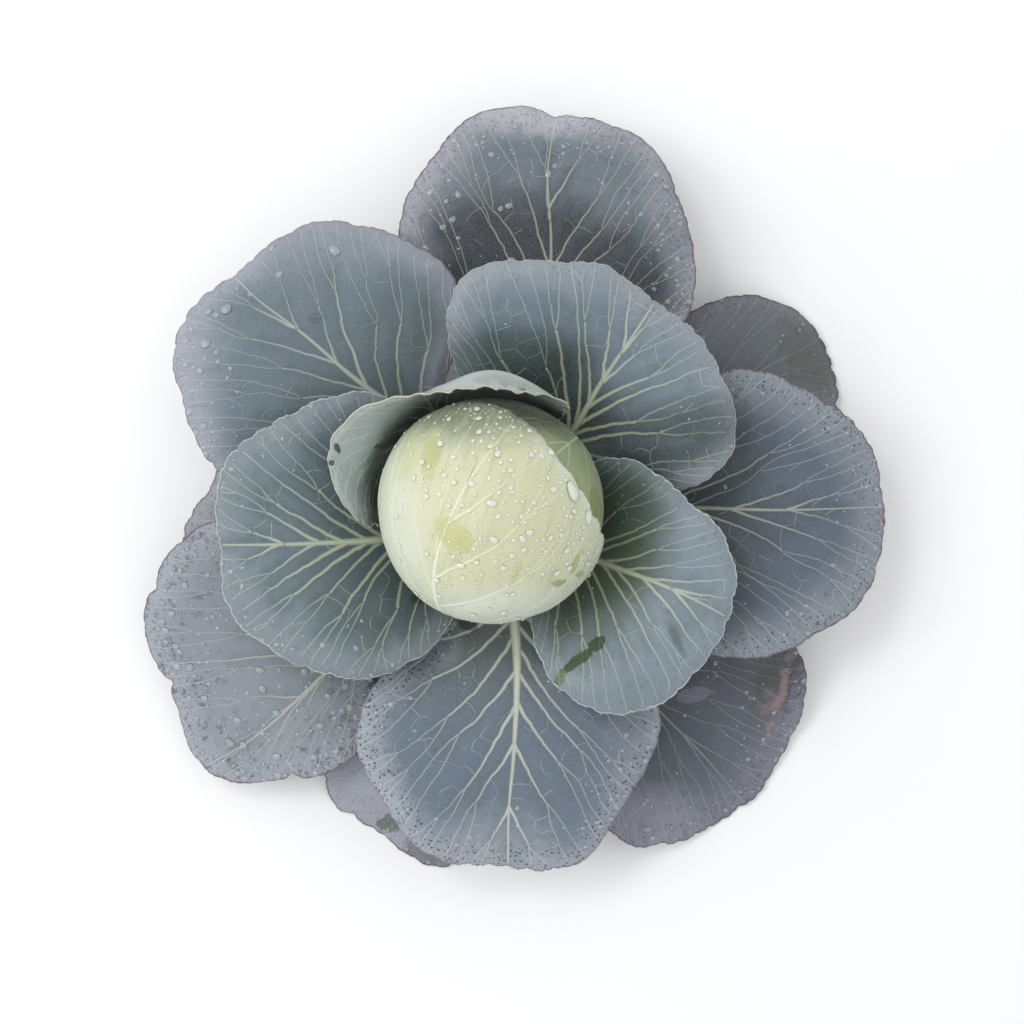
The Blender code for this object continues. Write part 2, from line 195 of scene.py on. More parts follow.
@dataclass(frozen=True)
class VeinPlan:
    """How a leaf's veins run.

    Attributes:
        starts: where the side veins leave the midrib, as shares of its length.
        fan: margin angles in degrees that bound what each side vein serves, one more than the starts.
        course: (share of its length, distance to the left in millimetres) of points along the midrib.
        lag: how much nearer to the stem the veins on the right leave, as a share of the midrib's length.
        midrib: its width in millimetres where the blade begins.
        forks: how many times a side vein forks.
        net: width of the net's threads.
        gaps: the share of the net's threads that can't be seen.
        seed: seed of the random draws.
    """

    starts: tuple[float, ...] = (0.13, 0.17, 0.22, 0.28, 0.36, 0.45, 0.57, 0.73)
    fan: tuple[float, ...] = (152, 124, 102, 83, 66, 51, 37, 23, 8)
    course: tuple[tuple[float, float], ...] = ((0, 0), (1, 0))
    lag: float = 0.0
    midrib: float = 6.0
    forks: int = 3
    net: float = 0.85
    gaps: float = 0.06
    seed: int = 1


@dataclass(frozen=True)
class DewPlan:
    """Drops of water on a leaf.

    Attributes:
        count: how many drops are tried.
        rim: 0 where they lie evenly, 1 where they gather towards the margin.
        largest: radius of the largest, in millimetres.
        typical: radius of a typical one, in millimetres.
        focus: where they gather instead, if anywhere, seen from above, in millimetres.
        spread: how far from there they lie.
        beads: (x, y, radius, length for its width) of single large ones, seen from above.
    """

    count: int
    rim: float = 0.5
    largest: float = 3.0
    typical: float = 0.9
    focus: tuple[float, float] | None = None
    spread: float = 30.0
    beads: tuple[tuple[float, float, float, float], ...] = ()


@dataclass(frozen=True)
class Leaf:
    """One open leaf of the rosette, in millimetres and degrees, as in its solid.

    Attributes:
        name: the solid's node.
        centre: place of the blade's centre, seen from above.
        azimuth: the direction in which its tip points.
        radii: the blade's outline about its centre, every 30 degrees from the tip, anticlockwise.
        spine: (distance from the stem's axis, height) of points along the midrib, from stem to tip.
        neck: half width of the winged petiole.
        bowl: how far the blade rises all round the head like a bowl, from 0 to 1.
        cup: how much higher the blade's sides are than its midrib.
        roll: how far the margin turns down.
        waves: number of waves along the margin.
        wave_height: half the height of these waves.
        scallop: depth of the small lobes along the margin.
        nicks: notches in the margin.
        veins: how its veins run.
        dew: the drops on it.
    """

    name: str
    centre: tuple[float, float]
    azimuth: float
    radii: tuple[float, ...]
    spine: tuple[tuple[float, float], ...]
    neck: float
    bowl: float
    cup: tuple[float, float]
    roll: float
    waves: int
    wave_height: float
    scallop: float = 2.0
    nicks: tuple[Nick, ...] = ()
    veins: VeinPlan = field(default_factory=VeinPlan)
    dew: DewPlan = field(default_factory=lambda: DewPlan(60))


DENSE_STARTS = (0.10, 0.14, 0.18, 0.22, 0.27, 0.33, 0.40, 0.49, 0.60, 0.75)
DENSE_FAN = (156, 132, 112, 96, 81, 67, 54, 42, 31, 19, 7)

# From the lowest leaf to the highest.
LEAVES = (
    Leaf("leaf_bottom_low", (-58, -176), 249, (72, 92, 86, 83, 79, 80, 82, 82, 77, 80, 70, 76),
         ((20, 8), (60, 18), (120, 28), (190, 22), (262, 0)), 22, 0.0, (3, 3), 3, 5, 2.0,
         scallop=2.0, nicks=(Nick(-22, 6, 5),), veins=VeinPlan(seed=11), dew=DewPlan(90)),
    Leaf("leaf_left_low", (-151, -6), 181, (80, 84, 79, 79, 80, 77, 74, 77, 81, 79, 81, 66),
         ((20, 9), (60, 18), (110, 28), (170, 22), (228, 0)), 22, 0.0, (3, 3), 3, 6, 2.0,
         scallop=2.0, veins=VeinPlan(seed=12), dew=DewPlan(80)),
    Leaf("leaf_dark_right", (176, 82), 35, (85, 83, 75, 73, 72, 63, 68, 67, 73, 82, 92, 84),
         ((20, 13), (60, 25), (120, 38), (190, 38), (240, 24), (276, 4)), 22, 0.0, (4, 4), 3, 7, 2.0,
         scallop=2.0, nicks=(Nick(-36, 7, 4),), veins=VeinPlan(midrib=4.5, gaps=0.5, seed=13),
         dew=DewPlan(90, 0.3, 1.2, 0.6)),
    Leaf("leaf_bottom_right", (144, -167), 315, (70, 73, 89, 103, 98, 90, 87, 87, 84, 89, 86, 72),
         ((20, 14), (60, 24), (120, 38), (200, 38), (250, 22), (290, 1)), 22, 0.0, (3, 3), 3, 6, 2.5,
         scallop=2.4, nicks=(Nick(-58, 5, 4),),
         veins=VeinPlan(course=((0, 0), (0.61, -6.3), (0.79, -4.2), (1, -5)), midrib=5.0, gaps=0.5, seed=14),
         dew=DewPlan(260, 0.3, 1.8, 0.7)),
    Leaf("leaf_lower_left", (-169, -109), 226, (84, 92, 89, 97, 87, 81, 87, 97, 108, 101, 90, 74),
         ((20, 14), (60, 26), (120, 42), (190, 45), (245, 36), (287, 22)), 22, 0.1, (4, 4), 4, 7, 2.5,
         scallop=1.6, nicks=(Nick(-81, 6, 4), Nick(-33, 7, 5), Nick(60, 6, 3)),
         veins=VeinPlan(starts=(0.10, 0.14, 0.19, 0.25, 0.32, 0.41, 0.52, 0.66),
                        course=((0, 0), (0.3, 12), (0.57, 22), (0.85, 28), (1, 24)),
                        forks=2, net=0.8, gaps=0.6, seed=15),
         dew=DewPlan(900, 0.2, 2.8, 0.9)),
    Leaf("leaf_top", (42, 200), 85, (89, 100, 100, 108, 100, 97, 109, 110, 114, 100, 94, 93),
         ((20, 19), (60, 32), (120, 54), (200, 64), (260, 60), (292, 50)), 24, 0.2, (5, 5), 5, 6, 2.5,
         scallop=1.8, nicks=(Nick(3, 5, 5),),
         veins=VeinPlan(course=((0, 0), (0.4, -11), (0.61, -9.7), (0.67, -7), (0.85, 3.5), (1, 3.5)),
                        gaps=0.4, seed=16),
         dew=DewPlan(420, 0.6, 2.4, 0.9)),
    Leaf("leaf_right", (200, 1), 0, (80, 83, 84, 95, 108, 102, 96, 102, 112, 101, 90, 86),
         ((20, 20), (60, 34), (120, 58), (200, 72), (250, 68), (282, 58)), 24, 0.2, (6, 6), 5, 7, 2.0,
         scallop=2.2, veins=VeinPlan(course=((0, 0), (0.49, 2.3), (0.68, 0.7), (1, 2.6)), gaps=0.2, seed=17),
         dew=DewPlan(240, 0.7, 1.6, 0.7)),
    Leaf("leaf_upper_left", (-121, 113), 136, (83, 99, 103, 110, 106, 81, 80, 86, 105, 101, 92, 87),
         ((20, 21), (60, 36), (110, 64), (170, 79), (220, 80), (250, 72)), 26, 0.3, (6, 6), 5, 6, 2.5,
         scallop=2.4,
         veins=VeinPlan(course=((0, 0), (0.25, -4.5), (0.4, -4.4), (0.51, -1.7), (0.7, 0.1), (0.91, 4.8),
                                (1, 4.6)),
                        midrib=7.0, gaps=0.15, seed=18),
         dew=DewPlan(700, 0.8, 3.6, 1.0, focus=(-205, 85), spread=48,
                     beads=((-182, 143, 4.0, 1.1), (-200, 121, 3.6, 1.0), (-204, 102, 2.4, 1.1)))),
    Leaf("leaf_bottom", (11, -164), 270, (89, 99, 91, 104, 104, 91, 86, 88, 100, 106, 96, 96),
         ((20, 22), (60, 38), (110, 66), (164, 77), (215, 75), (255, 64)), 32, 0.3, (6, 6), 5, 6, 2.5,
         scallop=2.2,
         veins=VeinPlan(starts=(0.13, 0.18, 0.24, 0.31, 0.39, 0.50, 0.63, 0.81),
                        course=((0, 0), (0.24, 11), (0.64, 7.5), (0.83, 2), (1, 0)),
                        midrib=8.0, gaps=0.2, seed=19),
         dew=DewPlan(420, 0.8, 1.8, 0.7)),
    Leaf("leaf_upper_right", (67, 95), 52, (65, 73, 80, 106, 96, 73, 53, 59, 83, 110, 93, 75),
         ((20, 26), (50, 40), (80, 72), (120, 100), (160, 114), (184, 112)), 24, 0.7, (10, 12), 5, 5, 2.0,
         scallop=2.4,
         veins=VeinPlan(DENSE_STARTS, DENSE_FAN,
                        ((0, 0), (0.2, -10), (0.36, -12), (0.58, -8.4), (0.9, -6.2), (1, -5)),
                        midrib=7.8, net=0.95, seed=20),
         dew=DewPlan(50, 0.3, 1.0, 0.6)),
    Leaf("leaf_left", (-112, -19), 182, (77, 83, 85, 93, 102, 98, 80, 81, 104, 97, 88, 86),
         ((20, 26), (50, 40), (80, 70), (120, 92), (170, 101), (192, 97)), 24, 0.7, (12, 10), 5, 6, 2.0,
         scallop=2.4,
         veins=VeinPlan(DENSE_STARTS, DENSE_FAN,
                        ((0, 0), (0.35, 9.5), (0.55, 7.8), (0.94, 2.1), (1, 1)),
                        midrib=8.4, net=0.95, gaps=0.08, seed=21),
         dew=DewPlan(160, 0.9, 1.9, 0.8)),
    Leaf("leaf_lower_right", (93, -50), 340, (72, 72, 70, 75, 88, 66, 55, 65, 79, 87, 84, 75),
         ((20, 27), (50, 40), (75, 66), (100, 90), (140, 110), (178, 110)), 24, 0.8, (24, 10), 7, 5, 2.0,
         scallop=2.2,
         veins=VeinPlan(DENSE_STARTS, DENSE_FAN,
                        ((0, 0), (0.39, 0.9), (0.63, 3.9), (0.82, 4.7), (1, 3)),
                        midrib=7.8, net=0.95, seed=22),
         dew=DewPlan(40, 0.2, 0.9, 0.6)),
)


@dataclass(frozen=True)
class HeadLeaf:
    """One leaf that wraps the head, as a cap of the ball, in millimetres and degrees, as in its solid.

    Attributes:
        name: the solid's node.
        azimuth: where the cap's middle faces.
        elevation: how high above the horizon the cap's middle faces.
        radius: the middle surface's distance from the head's centre.
        reach: angles from the cap's middle to its margin, every 30 degrees from the top, to the right.
        flare: how far the margin stands off the ball, as a share of its radius.
        flare_bearing: where on the margin it stands off most.
        scallop: depth of the small lobes along the margin.
        veins: how its veins run.
        dew: the drops on it.
        cells: how fine its mesh is.
    """

    name: str
    azimuth: float
    elevation: float
    radius: float
    reach: tuple[float, ...]
    flare: float
    flare_bearing: float
    scallop: float
    veins: VeinPlan
    dew: DewPlan
    cells: int = HEAD_CELLS


FLARE_FADE = 6
FLARE_SPREAD = 0.7
HEAD_LEAF_THICKNESS = 1.2
HEAD_STEP = 1.7                 # from one dressed layer of the head to the next
FRONT_RADIUS = HEAD_RADIUS - 0.7

HEAD_FAN = (150, 128, 108, 88, 68, 50, 34, 20, 8)
FRONT_LEAF = HeadLeaf(
    "head_leaf_front", 250, 30, FRONT_RADIUS,
    (113, 96, 88, 88, 89, 97, 104, 103, 105, 115, 120, 123), 0.055, 84, 3.0,
    VeinPlan(starts=(0.10, 0.17, 0.24, 0.31, 0.36, 0.46, 0.60, 0.73), fan=HEAD_FAN,
             course=((0, 0), (0.3, 0), (0.45, 12), (0.6, 22), (0.8, 24), (1, 10)), lag=0.04, midrib=5.6,
             forks=1, net=0.7, gaps=0.8, seed=31),
    DewPlan(3700, 0.0, 2.3, 0.72, focus=(16, 4), spread=44,
            beads=((54, 14, 4.2, 1.7), (44, 39, 2.4, 1.1), (63, -3, 3.6, 1.4), (31, 52, 1.9, 1.0),
                   (1, 2, 2.6, 1.4), (4, -20, 2.4, 1.3), (14, -27, 2.0, 1.1), (24, -12, 2.2, 1.2),
                   (-20, 16, 2.0, 1.0))))
BACK_LEAF = HeadLeaf(
    "head_leaf_back", 40, 15, FRONT_RADIUS - HEAD_STEP,
    (85, 95, 100, 95, 85, 80, 88, 80, 85, 95, 100, 95), 0.0, 0, 1.0,
    VeinPlan(starts=(0.10, 0.15, 0.21, 0.28, 0.37, 0.47, 0.60, 0.73), fan=HEAD_FAN, midrib=5.0, forks=1,
             net=0.8, gaps=0.7, seed=32),
    DewPlan(60, 0.0, 1.2, 0.6))
HEART_LEAF = HeadLeaf(
    "heart", 145, 10, FRONT_RADIUS - 2 * HEAD_STEP, (150,) * 12, 0.0, 0, 0.0,
    VeinPlan(starts=(0.16, 0.21, 0.27, 0.34, 0.42, 0.52, 0.63, 0.75), fan=HEAD_FAN, midrib=3.6, forks=1,
             net=0.7, gaps=0.9, seed=33),
    DewPlan(0), cells=60)
WRAPPER_VEINS = VeinPlan(starts=(0.05, 0.09, 0.14, 0.20, 0.27, 0.36, 0.48, 0.62),
                         fan=(112, 92, 76, 62, 50, 39, 28, 17, 6), midrib=7.0, gaps=0.1, seed=41)

# The curled wrapper leaf: (azimuth, then (distance from the axis, height) from its base to its margin).
WRAPPER_STATIONS = (
    (52, ((22, 31), (50, 45), (76, 78), (85, 112), (89, 132))),
    (86, ((22, 31), (50, 45), (80, 84), (93, 150), (79, 150))),
    (120, ((22, 31), (50, 45), (82, 86), (91, 124), (89, 150))),
    (154, ((22, 31), (50, 45), (82, 84), (96, 112), (118, 136))),
    (188, ((22, 31), (50, 45), (76, 76), (83, 96), (92, 112))),
)
WRAPPER_BASE_SHARE = 0.4
WRAPPER_HALF_WIDTH = 104.0      # of its chart
WRAPPER_HALF_LENGTH = 84.0
WRAPPER_SQUARENESS = 7.0        # how square its chart's corners are
WRAPPER_DEW = DewPlan(60, 0.6, 1.4, 0.7)
LIP_WAVES = (0.8, 0.6)          # how far the lip waves to the side and in height


# --- leaf surfaces ----------------------------------------------------------------------------------------
class Form(ABC):
    """A leaf's middle surface over a flat chart in millimetres: x towards the tip, y to the left."""

    cells: tuple[int, int]
    base: np.ndarray

    @abstractmethod
    def reach(self, angle: np.ndarray) -> np.ndarray:
        """Return the margin's distance from the chart's middle, at angles from the tip, to the left."""

    @abstractmethod
    def place(self, chart: np.ndarray) -> np.ndarray:
        """Return the points in space, in millimetres, of chart places."""

    def spread(self, u: np.ndarray, v: np.ndarray) -> np.ndarray:
        """Return the chart places of a square grid's points, which run from -1 to 1."""
        share, angle = disc(u, v)
        radius = share * self.reach(angle)
        return np.column_stack((radius * np.cos(angle), radius * np.sin(angle)))

    def to_margin(self, chart: np.ndarray) -> np.ndarray:
        """Return the distance to the margin, in millimetres, along the ray from the chart's middle."""
        angle = np.arctan2(chart[:, 1], chart[:, 0])
        return np.maximum(self.reach(angle) - np.hypot(chart[:, 0], chart[:, 1]), 0)

    def margin_point(self, angle: float, share: float) -> np.ndarray:
        """Return the chart place at a share of the way to the margin."""
        radius = share * float(self.reach(np.array([angle]))[0])
        return np.array((radius * math.cos(angle), radius * math.sin(angle)))

    def surface(self, chart: np.ndarray) -> tuple[np.ndarray, np.ndarray]:
        """Return the points and the unit normals of the upper side, of chart places."""
        here = self.place(chart)
        ahead = self.place(chart + (CHART_STEP, 0)) - here
        left = self.place(chart + (0, CHART_STEP)) - here
        return here, unit(np.cross(ahead, left))

    def covered(self, chart: np.ndarray) -> np.ndarray:
        """Return whether another leaf lies over each chart place."""
        return np.zeros(len(chart), dtype=bool)


def scalloped(angle: np.ndarray, depth: float, seed: int) -> np.ndarray:
    """Return how far small rounded lobes take a margin back, in millimetres."""
    lobes = 9 + seed % 4
    large = 1 - np.abs(np.sin(0.5 * lobes * angle + 0.7 * seed + 0.5 * np.sin(2 * angle + seed))) ** 0.7
    wander = 2.0 * np.sin(2 * angle + seed) + 1.1 * np.sin(5 * angle + 2.0 * seed)
    small = 1 - np.abs(np.sin(12.0 * angle + 1.3 * seed + wander)) ** 0.8
    fine = 1 - np.abs(np.sin(27 * angle + 1.7 * wander + np.sin(7 * angle))) ** 0.9
    tiny = 1 - np.abs(np.sin(51 * angle + 3.1 * wander)) ** 0.9
    swell = 0.55 + 0.45 * np.sin(3 * angle + 1.9 * seed)
    lobed = (large * swell + 0.8 * small * (1.4 - swell) + 0.5 * fine * swell
             + 0.35 * tiny * (1.3 - swell))
    return depth * lobed


class OpenForm(Form):
    """The middle surface of one open leaf of the rosette."""

    def __init__(self, index: int) -> None:
        """Set out the open leaf with this number in LEAVES."""
        self.leaf = LEAVES[index]
        self.index = index
        self.cells = (LEAF_CELLS, LEAF_CELLS)
        self.heading = math.radians(self.leaf.azimuth)
        self.centre = np.array(self.leaf.centre, dtype=float)
        distance = float(np.hypot(*self.centre))
        self.toward = self.centre / distance
        self.base_angle = math.atan2(-self.centre[1], -self.centre[0]) - self.heading
        self.base_reach = distance - ATTACH_RADIUS
        self.base_spread = self.leaf.neck / self.base_reach
        self.swing = math.remainder(self.base_angle - math.pi, 2 * math.pi)
        self.base = self.base_reach * np.array((math.cos(self.base_angle), math.sin(self.base_angle)))
        self.half_width = float(np.mean(self.leaf.radii))

    def outline(self, angle: np.ndarray) -> tuple[np.ndarray, np.ndarray]:
        """Return the smooth outline's distance from the middle, and how much of it is petiole."""
        blade = periodic(self.leaf.radii, angle)
        at_base = float(periodic(self.leaf.radii, np.array([self.base_angle]))[0])
        off = np.angle(np.exp(1j * (angle - self.base_angle)))
        petiole = np.exp(-0.5 * (off / self.base_spread) ** 2)
        return blade + (self.base_reach - at_base) * petiole, petiole

    def reach(self, angle: np.ndarray) -> np.ndarray:
        """Return the margin's distance from the middle, with its lobes and notches."""
        smooth, petiole = self.outline(angle)
        back = scalloped(angle, self.leaf.scallop, self.leaf.veins.seed)
        for nick in self.leaf.nicks:
            off = np.degrees(np.angle(np.exp(1j * (angle - math.radians(nick.angle)))))
            back = back + nick.depth * np.exp(-np.abs(off / nick.width) ** 1.3)
        return smooth + 0.5 * self.leaf.scallop - back * (1 - petiole ** 0.25)

    def spread(self, u: np.ndarray, v: np.ndarray) -> np.ndarray:
        """Return the chart places of a square grid's points, whose lower side ends at the stem."""
        share, angle = disc(u, v)
        angle = angle + 0.5 * self.swing * (1 - np.cos(angle))
        radius = share * self.reach(angle)
        return np.column_stack((radius * np.cos(angle), radius * np.sin(angle)))

    def above(self, chart: np.ndarray) -> tuple[np.ndarray, np.ndarray]:
        """Return the places seen from above of chart places."""
        cosine, sine = math.cos(self.heading), math.sin(self.heading)
        x = self.centre[0] + cosine * chart[:, 0] - sine * chart[:, 1]
        y = self.centre[1] + sine * chart[:, 0] + cosine * chart[:, 1]
        return x, y

    def across(self, x: np.ndarray, y: np.ndarray) -> tuple[np.ndarray, np.ndarray]:
        """Return the distance from the stem's axis and the distance to the side of the midrib."""
        return x * self.toward[0] + y * self.toward[1], y * self.toward[0] - x * self.toward[1]

    def thickness(self, x: np.ndarray, y: np.ndarray) -> np.ndarray:
        """Return the solid's thickness, which keeps the layers apart."""
        along, side = self.across(x, y)
        tip = self.leaf.spine[-1][0]
        share = np.clip((along - ATTACH_RADIUS) / (tip - ATTACH_RADIUS), 0, 1)
        rib = RIB_TIP_THICKNESS + (RIB_THICKNESS - RIB_TIP_THICKNESS) * (1 - share) ** 2
        return BLADE_THICKNESS + (rib - BLADE_THICKNESS) * np.exp(-(side / RIB_WIDTH) ** 2)

    def design(self, x: np.ndarray, y: np.ndarray) -> tuple[np.ndarray, np.ndarray]:
        """Return the height where nothing below lifts the leaf, and the distance beyond its outline."""
        dx, dy = x - self.centre[0], y - self.centre[1]
        angle = np.arctan2(dy, dx) - self.heading
        reach = self.outline(angle)[0]
        radius = np.hypot(dx, dy)
        share = np.minimum(radius / reach, 1.0)
        turn = angle + self.heading
        near_x = self.centre[0] + share * reach * np.cos(turn)
        near_y = self.centre[1] + share * reach * np.sin(turn)
        along, side = self.across(near_x, near_y)
        outward = along + self.leaf.bowl * (np.hypot(near_x, near_y) - along)
        cup = np.where(side > 0, self.leaf.cup[0], self.leaf.cup[1])
        rise = 1 - np.exp(-(side / (CUP_WIDTH * self.half_width)) ** 2)
        spine = np.array(self.leaf.spine)
        height = curve(spine[:, 0], spine[:, 1], outward) + cup * rise
        waves = self.leaf.wave_height * np.cos(self.leaf.waves * angle + self.heading)
        height = height + share ** WAVE_FADE * waves - self.leaf.roll * share ** ROLL_FADE
        return height, np.maximum(radius - reach, 0.0)

    def place(self, chart: np.ndarray) -> np.ndarray:
        """Return the points in space of chart places, with the margin's small ripples."""
        x, y = self.above(chart)
        height = layered_height(self.index, x, y)
        angle = np.arctan2(chart[:, 1], chart[:, 0])
        smooth, petiole = self.outline(angle)
        share = np.minimum(np.hypot(chart[:, 0], chart[:, 1]) / smooth, 1.02)
        seed = self.leaf.veins.seed
        ripple = 0.9 * np.sin(11 * angle + seed) + 0.6 * np.sin(19 * angle + 2 * seed + 2 * np.sin(4 * angle))
        return np.column_stack((x, y, height + ripple * share ** RIPPLE_FADE * (1 - petiole)))

    def covered(self, chart: np.ndarray) -> np.ndarray:
        """Return whether a higher leaf, the wrapper or the head lies over each chart place."""
        x, y = self.above(chart)
        hidden = np.hypot(x - HEAD_CENTRE[0], y - HEAD_CENTRE[1]) < HEAD_RADIUS + HEAD_COVER
        for form in OPEN_FORMS[self.index + 1:]:
            hidden |= form.design(x, y)[1] <= 0
        return hidden


OPEN_FORMS = tuple(OpenForm(index) for index in range(len(LEAVES)))


def layered_height(index: int, x: np.ndarray, y: np.ndarray) -> np.ndarray:
    """Return the height of one leaf at places seen from above, lifted clear of all the leaves below it."""
    height = np.zeros_like(x)
    settled: list[tuple[np.ndarray, np.ndarray]] = []
    for form in OPEN_FORMS[:index + 1]:
        thickness = form.thickness(x, y)
        height, beyond = form.design(x, y)
        height = smooth_max(height, REST_GAP + 0.5 * thickness, DRAPE_BLEND)
        for lower, lower_thickness in settled:
            clear = 0.5 * SLOPE_ALLOWANCE * (thickness + lower_thickness) + LAYER_GAP
            height = smooth_max(height, lower + clear, DRAPE_BLEND)
        settled.append((height - DRAPE_SLOPE * beyond, thickness))
    return height


class HeadForm(Form):
    """The middle surface of one leaf that wraps the head."""

    def __init__(self, leaf: HeadLeaf) -> None:
        """Work out a head leaf's directions from where it faces."""
        self.leaf = leaf
        self.cells = (leaf.cells, leaf.cells)
        azimuth, elevation = math.radians(leaf.azimuth), math.radians(leaf.elevation)
        level = np.array((math.cos(azimuth), math.sin(azimuth), 0.0))
        self.out = math.cos(elevation) * level + np.array((0, 0, math.sin(elevation)))
        self.up = -math.sin(elevation) * level + np.array((0, 0, math.cos(elevation)))
        self.left = np.cross(self.out, self.up)
        self.base = np.array((-float(self.smooth_reach(np.array([math.pi]))[0]), 0.0))

    def smooth_reach(self, angle: np.ndarray) -> np.ndarray:
        """Return the smooth outline's distance from the middle, along the ball."""
        return self.leaf.radius * np.radians(periodic(self.leaf.reach, -angle))

    def reach(self, angle: np.ndarray) -> np.ndarray:
        """Return the margin's distance from the middle, with its lobes."""
        return self.smooth_reach(angle) - scalloped(angle, self.leaf.scallop, self.leaf.veins.seed)

    def place(self, chart: np.ndarray) -> np.ndarray:
        """Return the points in space of chart places."""
        distance = np.hypot(chart[:, 0], chart[:, 1])
        angle = np.arctan2(chart[:, 1], chart[:, 0])
        away = distance / self.leaf.radius
        side = np.outer(np.cos(angle), self.up) + np.outer(np.sin(angle), self.left)
        direction = np.outer(np.cos(away), self.out) + np.sin(away)[:, None] * side
        share = distance / self.smooth_reach(angle)
        turn = np.angle(np.exp(1j * (-angle - math.radians(self.leaf.flare_bearing))))
        flare = self.leaf.flare * share ** FLARE_FADE * np.exp(-0.5 * (turn / FLARE_SPREAD) ** 2)
        return HEAD_CENTRE + direction * (self.leaf.radius * (1 + flare) * lumps(direction))[:, None]


def lumps(direction: np.ndarray) -> np.ndarray:
    """Return how a direction's distance from the head's centre departs from the ball's radius."""
    x, y, z = direction.T
    return 1 + 0.008 * np.sin(3.1 * x + 1.2) * np.cos(2.7 * y) + 0.007 * np.sin(4.3 * y - 2.1 * z)


class WrapperForm(Form):
    """The middle surface of the leaf that stands around one side of the head with its margin curled in."""

    def __init__(self) -> None:
        """Read the sections that stand along the leaf."""
        self.cells = (WRAPPER_CELLS, WRAPPER_CELLS)
        self.base = np.array((-WRAPPER_HALF_LENGTH, 0.0))
        self.azimuths = np.array([station[0] for station in WRAPPER_STATIONS], dtype=float)
        self.sections = np.array([station[1] for station in WRAPPER_STATIONS], dtype=float)
        self.middle = 0.5 * (self.azimuths[0] + self.azimuths[-1])
        self.half_span = 0.5 * (self.azimuths[-1] - self.azimuths[0])

    def reach(self, angle: np.ndarray) -> np.ndarray:
        """Return the margin's distance from the middle of a chart with round corners."""
        long_way = np.abs(np.cos(angle) / WRAPPER_HALF_LENGTH) ** WRAPPER_SQUARENESS
        wide_way = np.abs(np.sin(angle) / WRAPPER_HALF_WIDTH) ** WRAPPER_SQUARENESS
        smooth = (long_way + wide_way) ** (-1 / WRAPPER_SQUARENESS)
        crinkle = (1.7 * np.abs(np.sin(26 * angle + 2 * np.sin(3 * angle)))
                   + 0.9 * np.sin(61 * angle + 2 * np.sin(5 * angle)))
        return smooth - (scalloped(angle, 3.0, 7) + crinkle) * smooth_step(-0.6, 0.2, np.cos(angle))

    def place(self, chart: np.ndarray) -> np.ndarray:
        """Return the points in space of chart places."""
        u = np.clip(chart[:, 1] / WRAPPER_HALF_WIDTH, -1.05, 1.05)
        along = np.clip(0.5 * (chart[:, 0] / WRAPPER_HALF_LENGTH + 1), 0, 1.02)
        station = self.middle + self.half_span * u
        opened = np.sin(0.5 * math.pi * np.clip(2 * along, 0, 1))
        width = WRAPPER_BASE_SHARE + (1 - WRAPPER_BASE_SHARE) * opened
        azimuth = np.radians(self.middle + self.half_span * u * width)
        knots = np.linspace(0, 1, self.sections.shape[1])
        radius, height = (
            curve(knots, np.array([curve(self.azimuths, self.sections[:, knot, axis], station)
                                   for knot in range(len(knots))]), along)
            for axis in (0, 1))
        ripple = 0.8 * np.sin(0.11 * chart[:, 1]) * smooth_step(0.5, 1.0, along)
        wave = 0.42 * chart[:, 1] + 1.6 * np.sin(0.09 * chart[:, 1])
        lip = smooth_step(0.80, 1.0, along) ** 2
        radius = radius + ripple + LIP_WAVES[0] * np.sin(wave) * lip
        height = height + LIP_WAVES[1] * np.cos(wave) * lip
        return np.column_stack((radius * np.cos(azimuth), radius * np.sin(azimuth), height))


# --- veins ------------------------------------------------------------------------------------------------
@dataclass
class Vein:
    """One vein: its chart places from start to end, and its width at each, in millimetres."""

    path: np.ndarray
    width: np.ndarray


VEIN_STEP = 2.6
FINEST_VEIN = 1.05
VEIN_PALENESS = ((0.5, 0.8, 1.05, 2.2, 7.5), (0.14, 0.22, 0.38, 0.56, 1.0))     # against a vein's width
SMALLEST_SPAN = 15.0            # a vein forks no more where it serves less margin than this
NET_GAP = 7.4                   # least distance between two meshes of the net beside a vein
NET_FILL = 9.6                  # the same, away from the veins
NET_TRIES = 2600                # how many places away from the veins are tried
NET_CLEARANCE = 3.6             # least distance of such a place from a vein
NET_OFFSET = (4.2, 5.2)         # how far the meshes along a vein lie from its side
NET_PITCH = (9.0, 15.0)         # how far apart they lie along it
NET_BEYOND = 5.0                # how far outside the margin the last meshes lie
THREAD_LENGTHS = (1.5, 30)      # shortest and longest thread of the net
THREAD_STEP = 1.9               # along a thread of the net
SHORTEST_FORKED = 14            # a shorter vein doesn't fork
SIDE_SHARES = (0.56, 0.32)      # widths for the midrib's, from the first side vein towards the last
FIRST_FORK_SHARE = 0.5          # what a fork leaves of a side vein's width
LATER_FORK_SHARE = 0.68         # and what each later one leaves
SIDE_TAPER = 1.7                # power with which a vein narrows from its start
MIDRIB_TAPER = ((0, 1.7), (0.12, 1.4), (0.25, 1.0), (0.47, 0.58), (0.64, 0.38), (0.8, 0.27), (1, 0.16))


class Scatter:
    """Chart places that keep their distance from each other."""

    def __init__(self) -> None:
        """Start without any places."""
        self.places: list[tuple[float, float]] = []
        self.squares: dict[tuple[int, int], list[tuple[float, float]]] = {}

    def add(self, place: np.ndarray, gap: float) -> None:
        """Add a place, unless another lies nearer than a gap of at most NET_FILL."""
        x, y = float(place[0]), float(place[1])
        column, row = int(x // NET_FILL), int(y // NET_FILL)
        for square in ((column + i, row + j) for i in (-1, 0, 1) for j in (-1, 0, 1)):
            if any(math.hypot(other[0] - x, other[1] - y) < gap for other in self.squares.get(square, ())):
                return
        self.squares.setdefault((column, row), []).append((x, y))
        self.places.append((x, y))


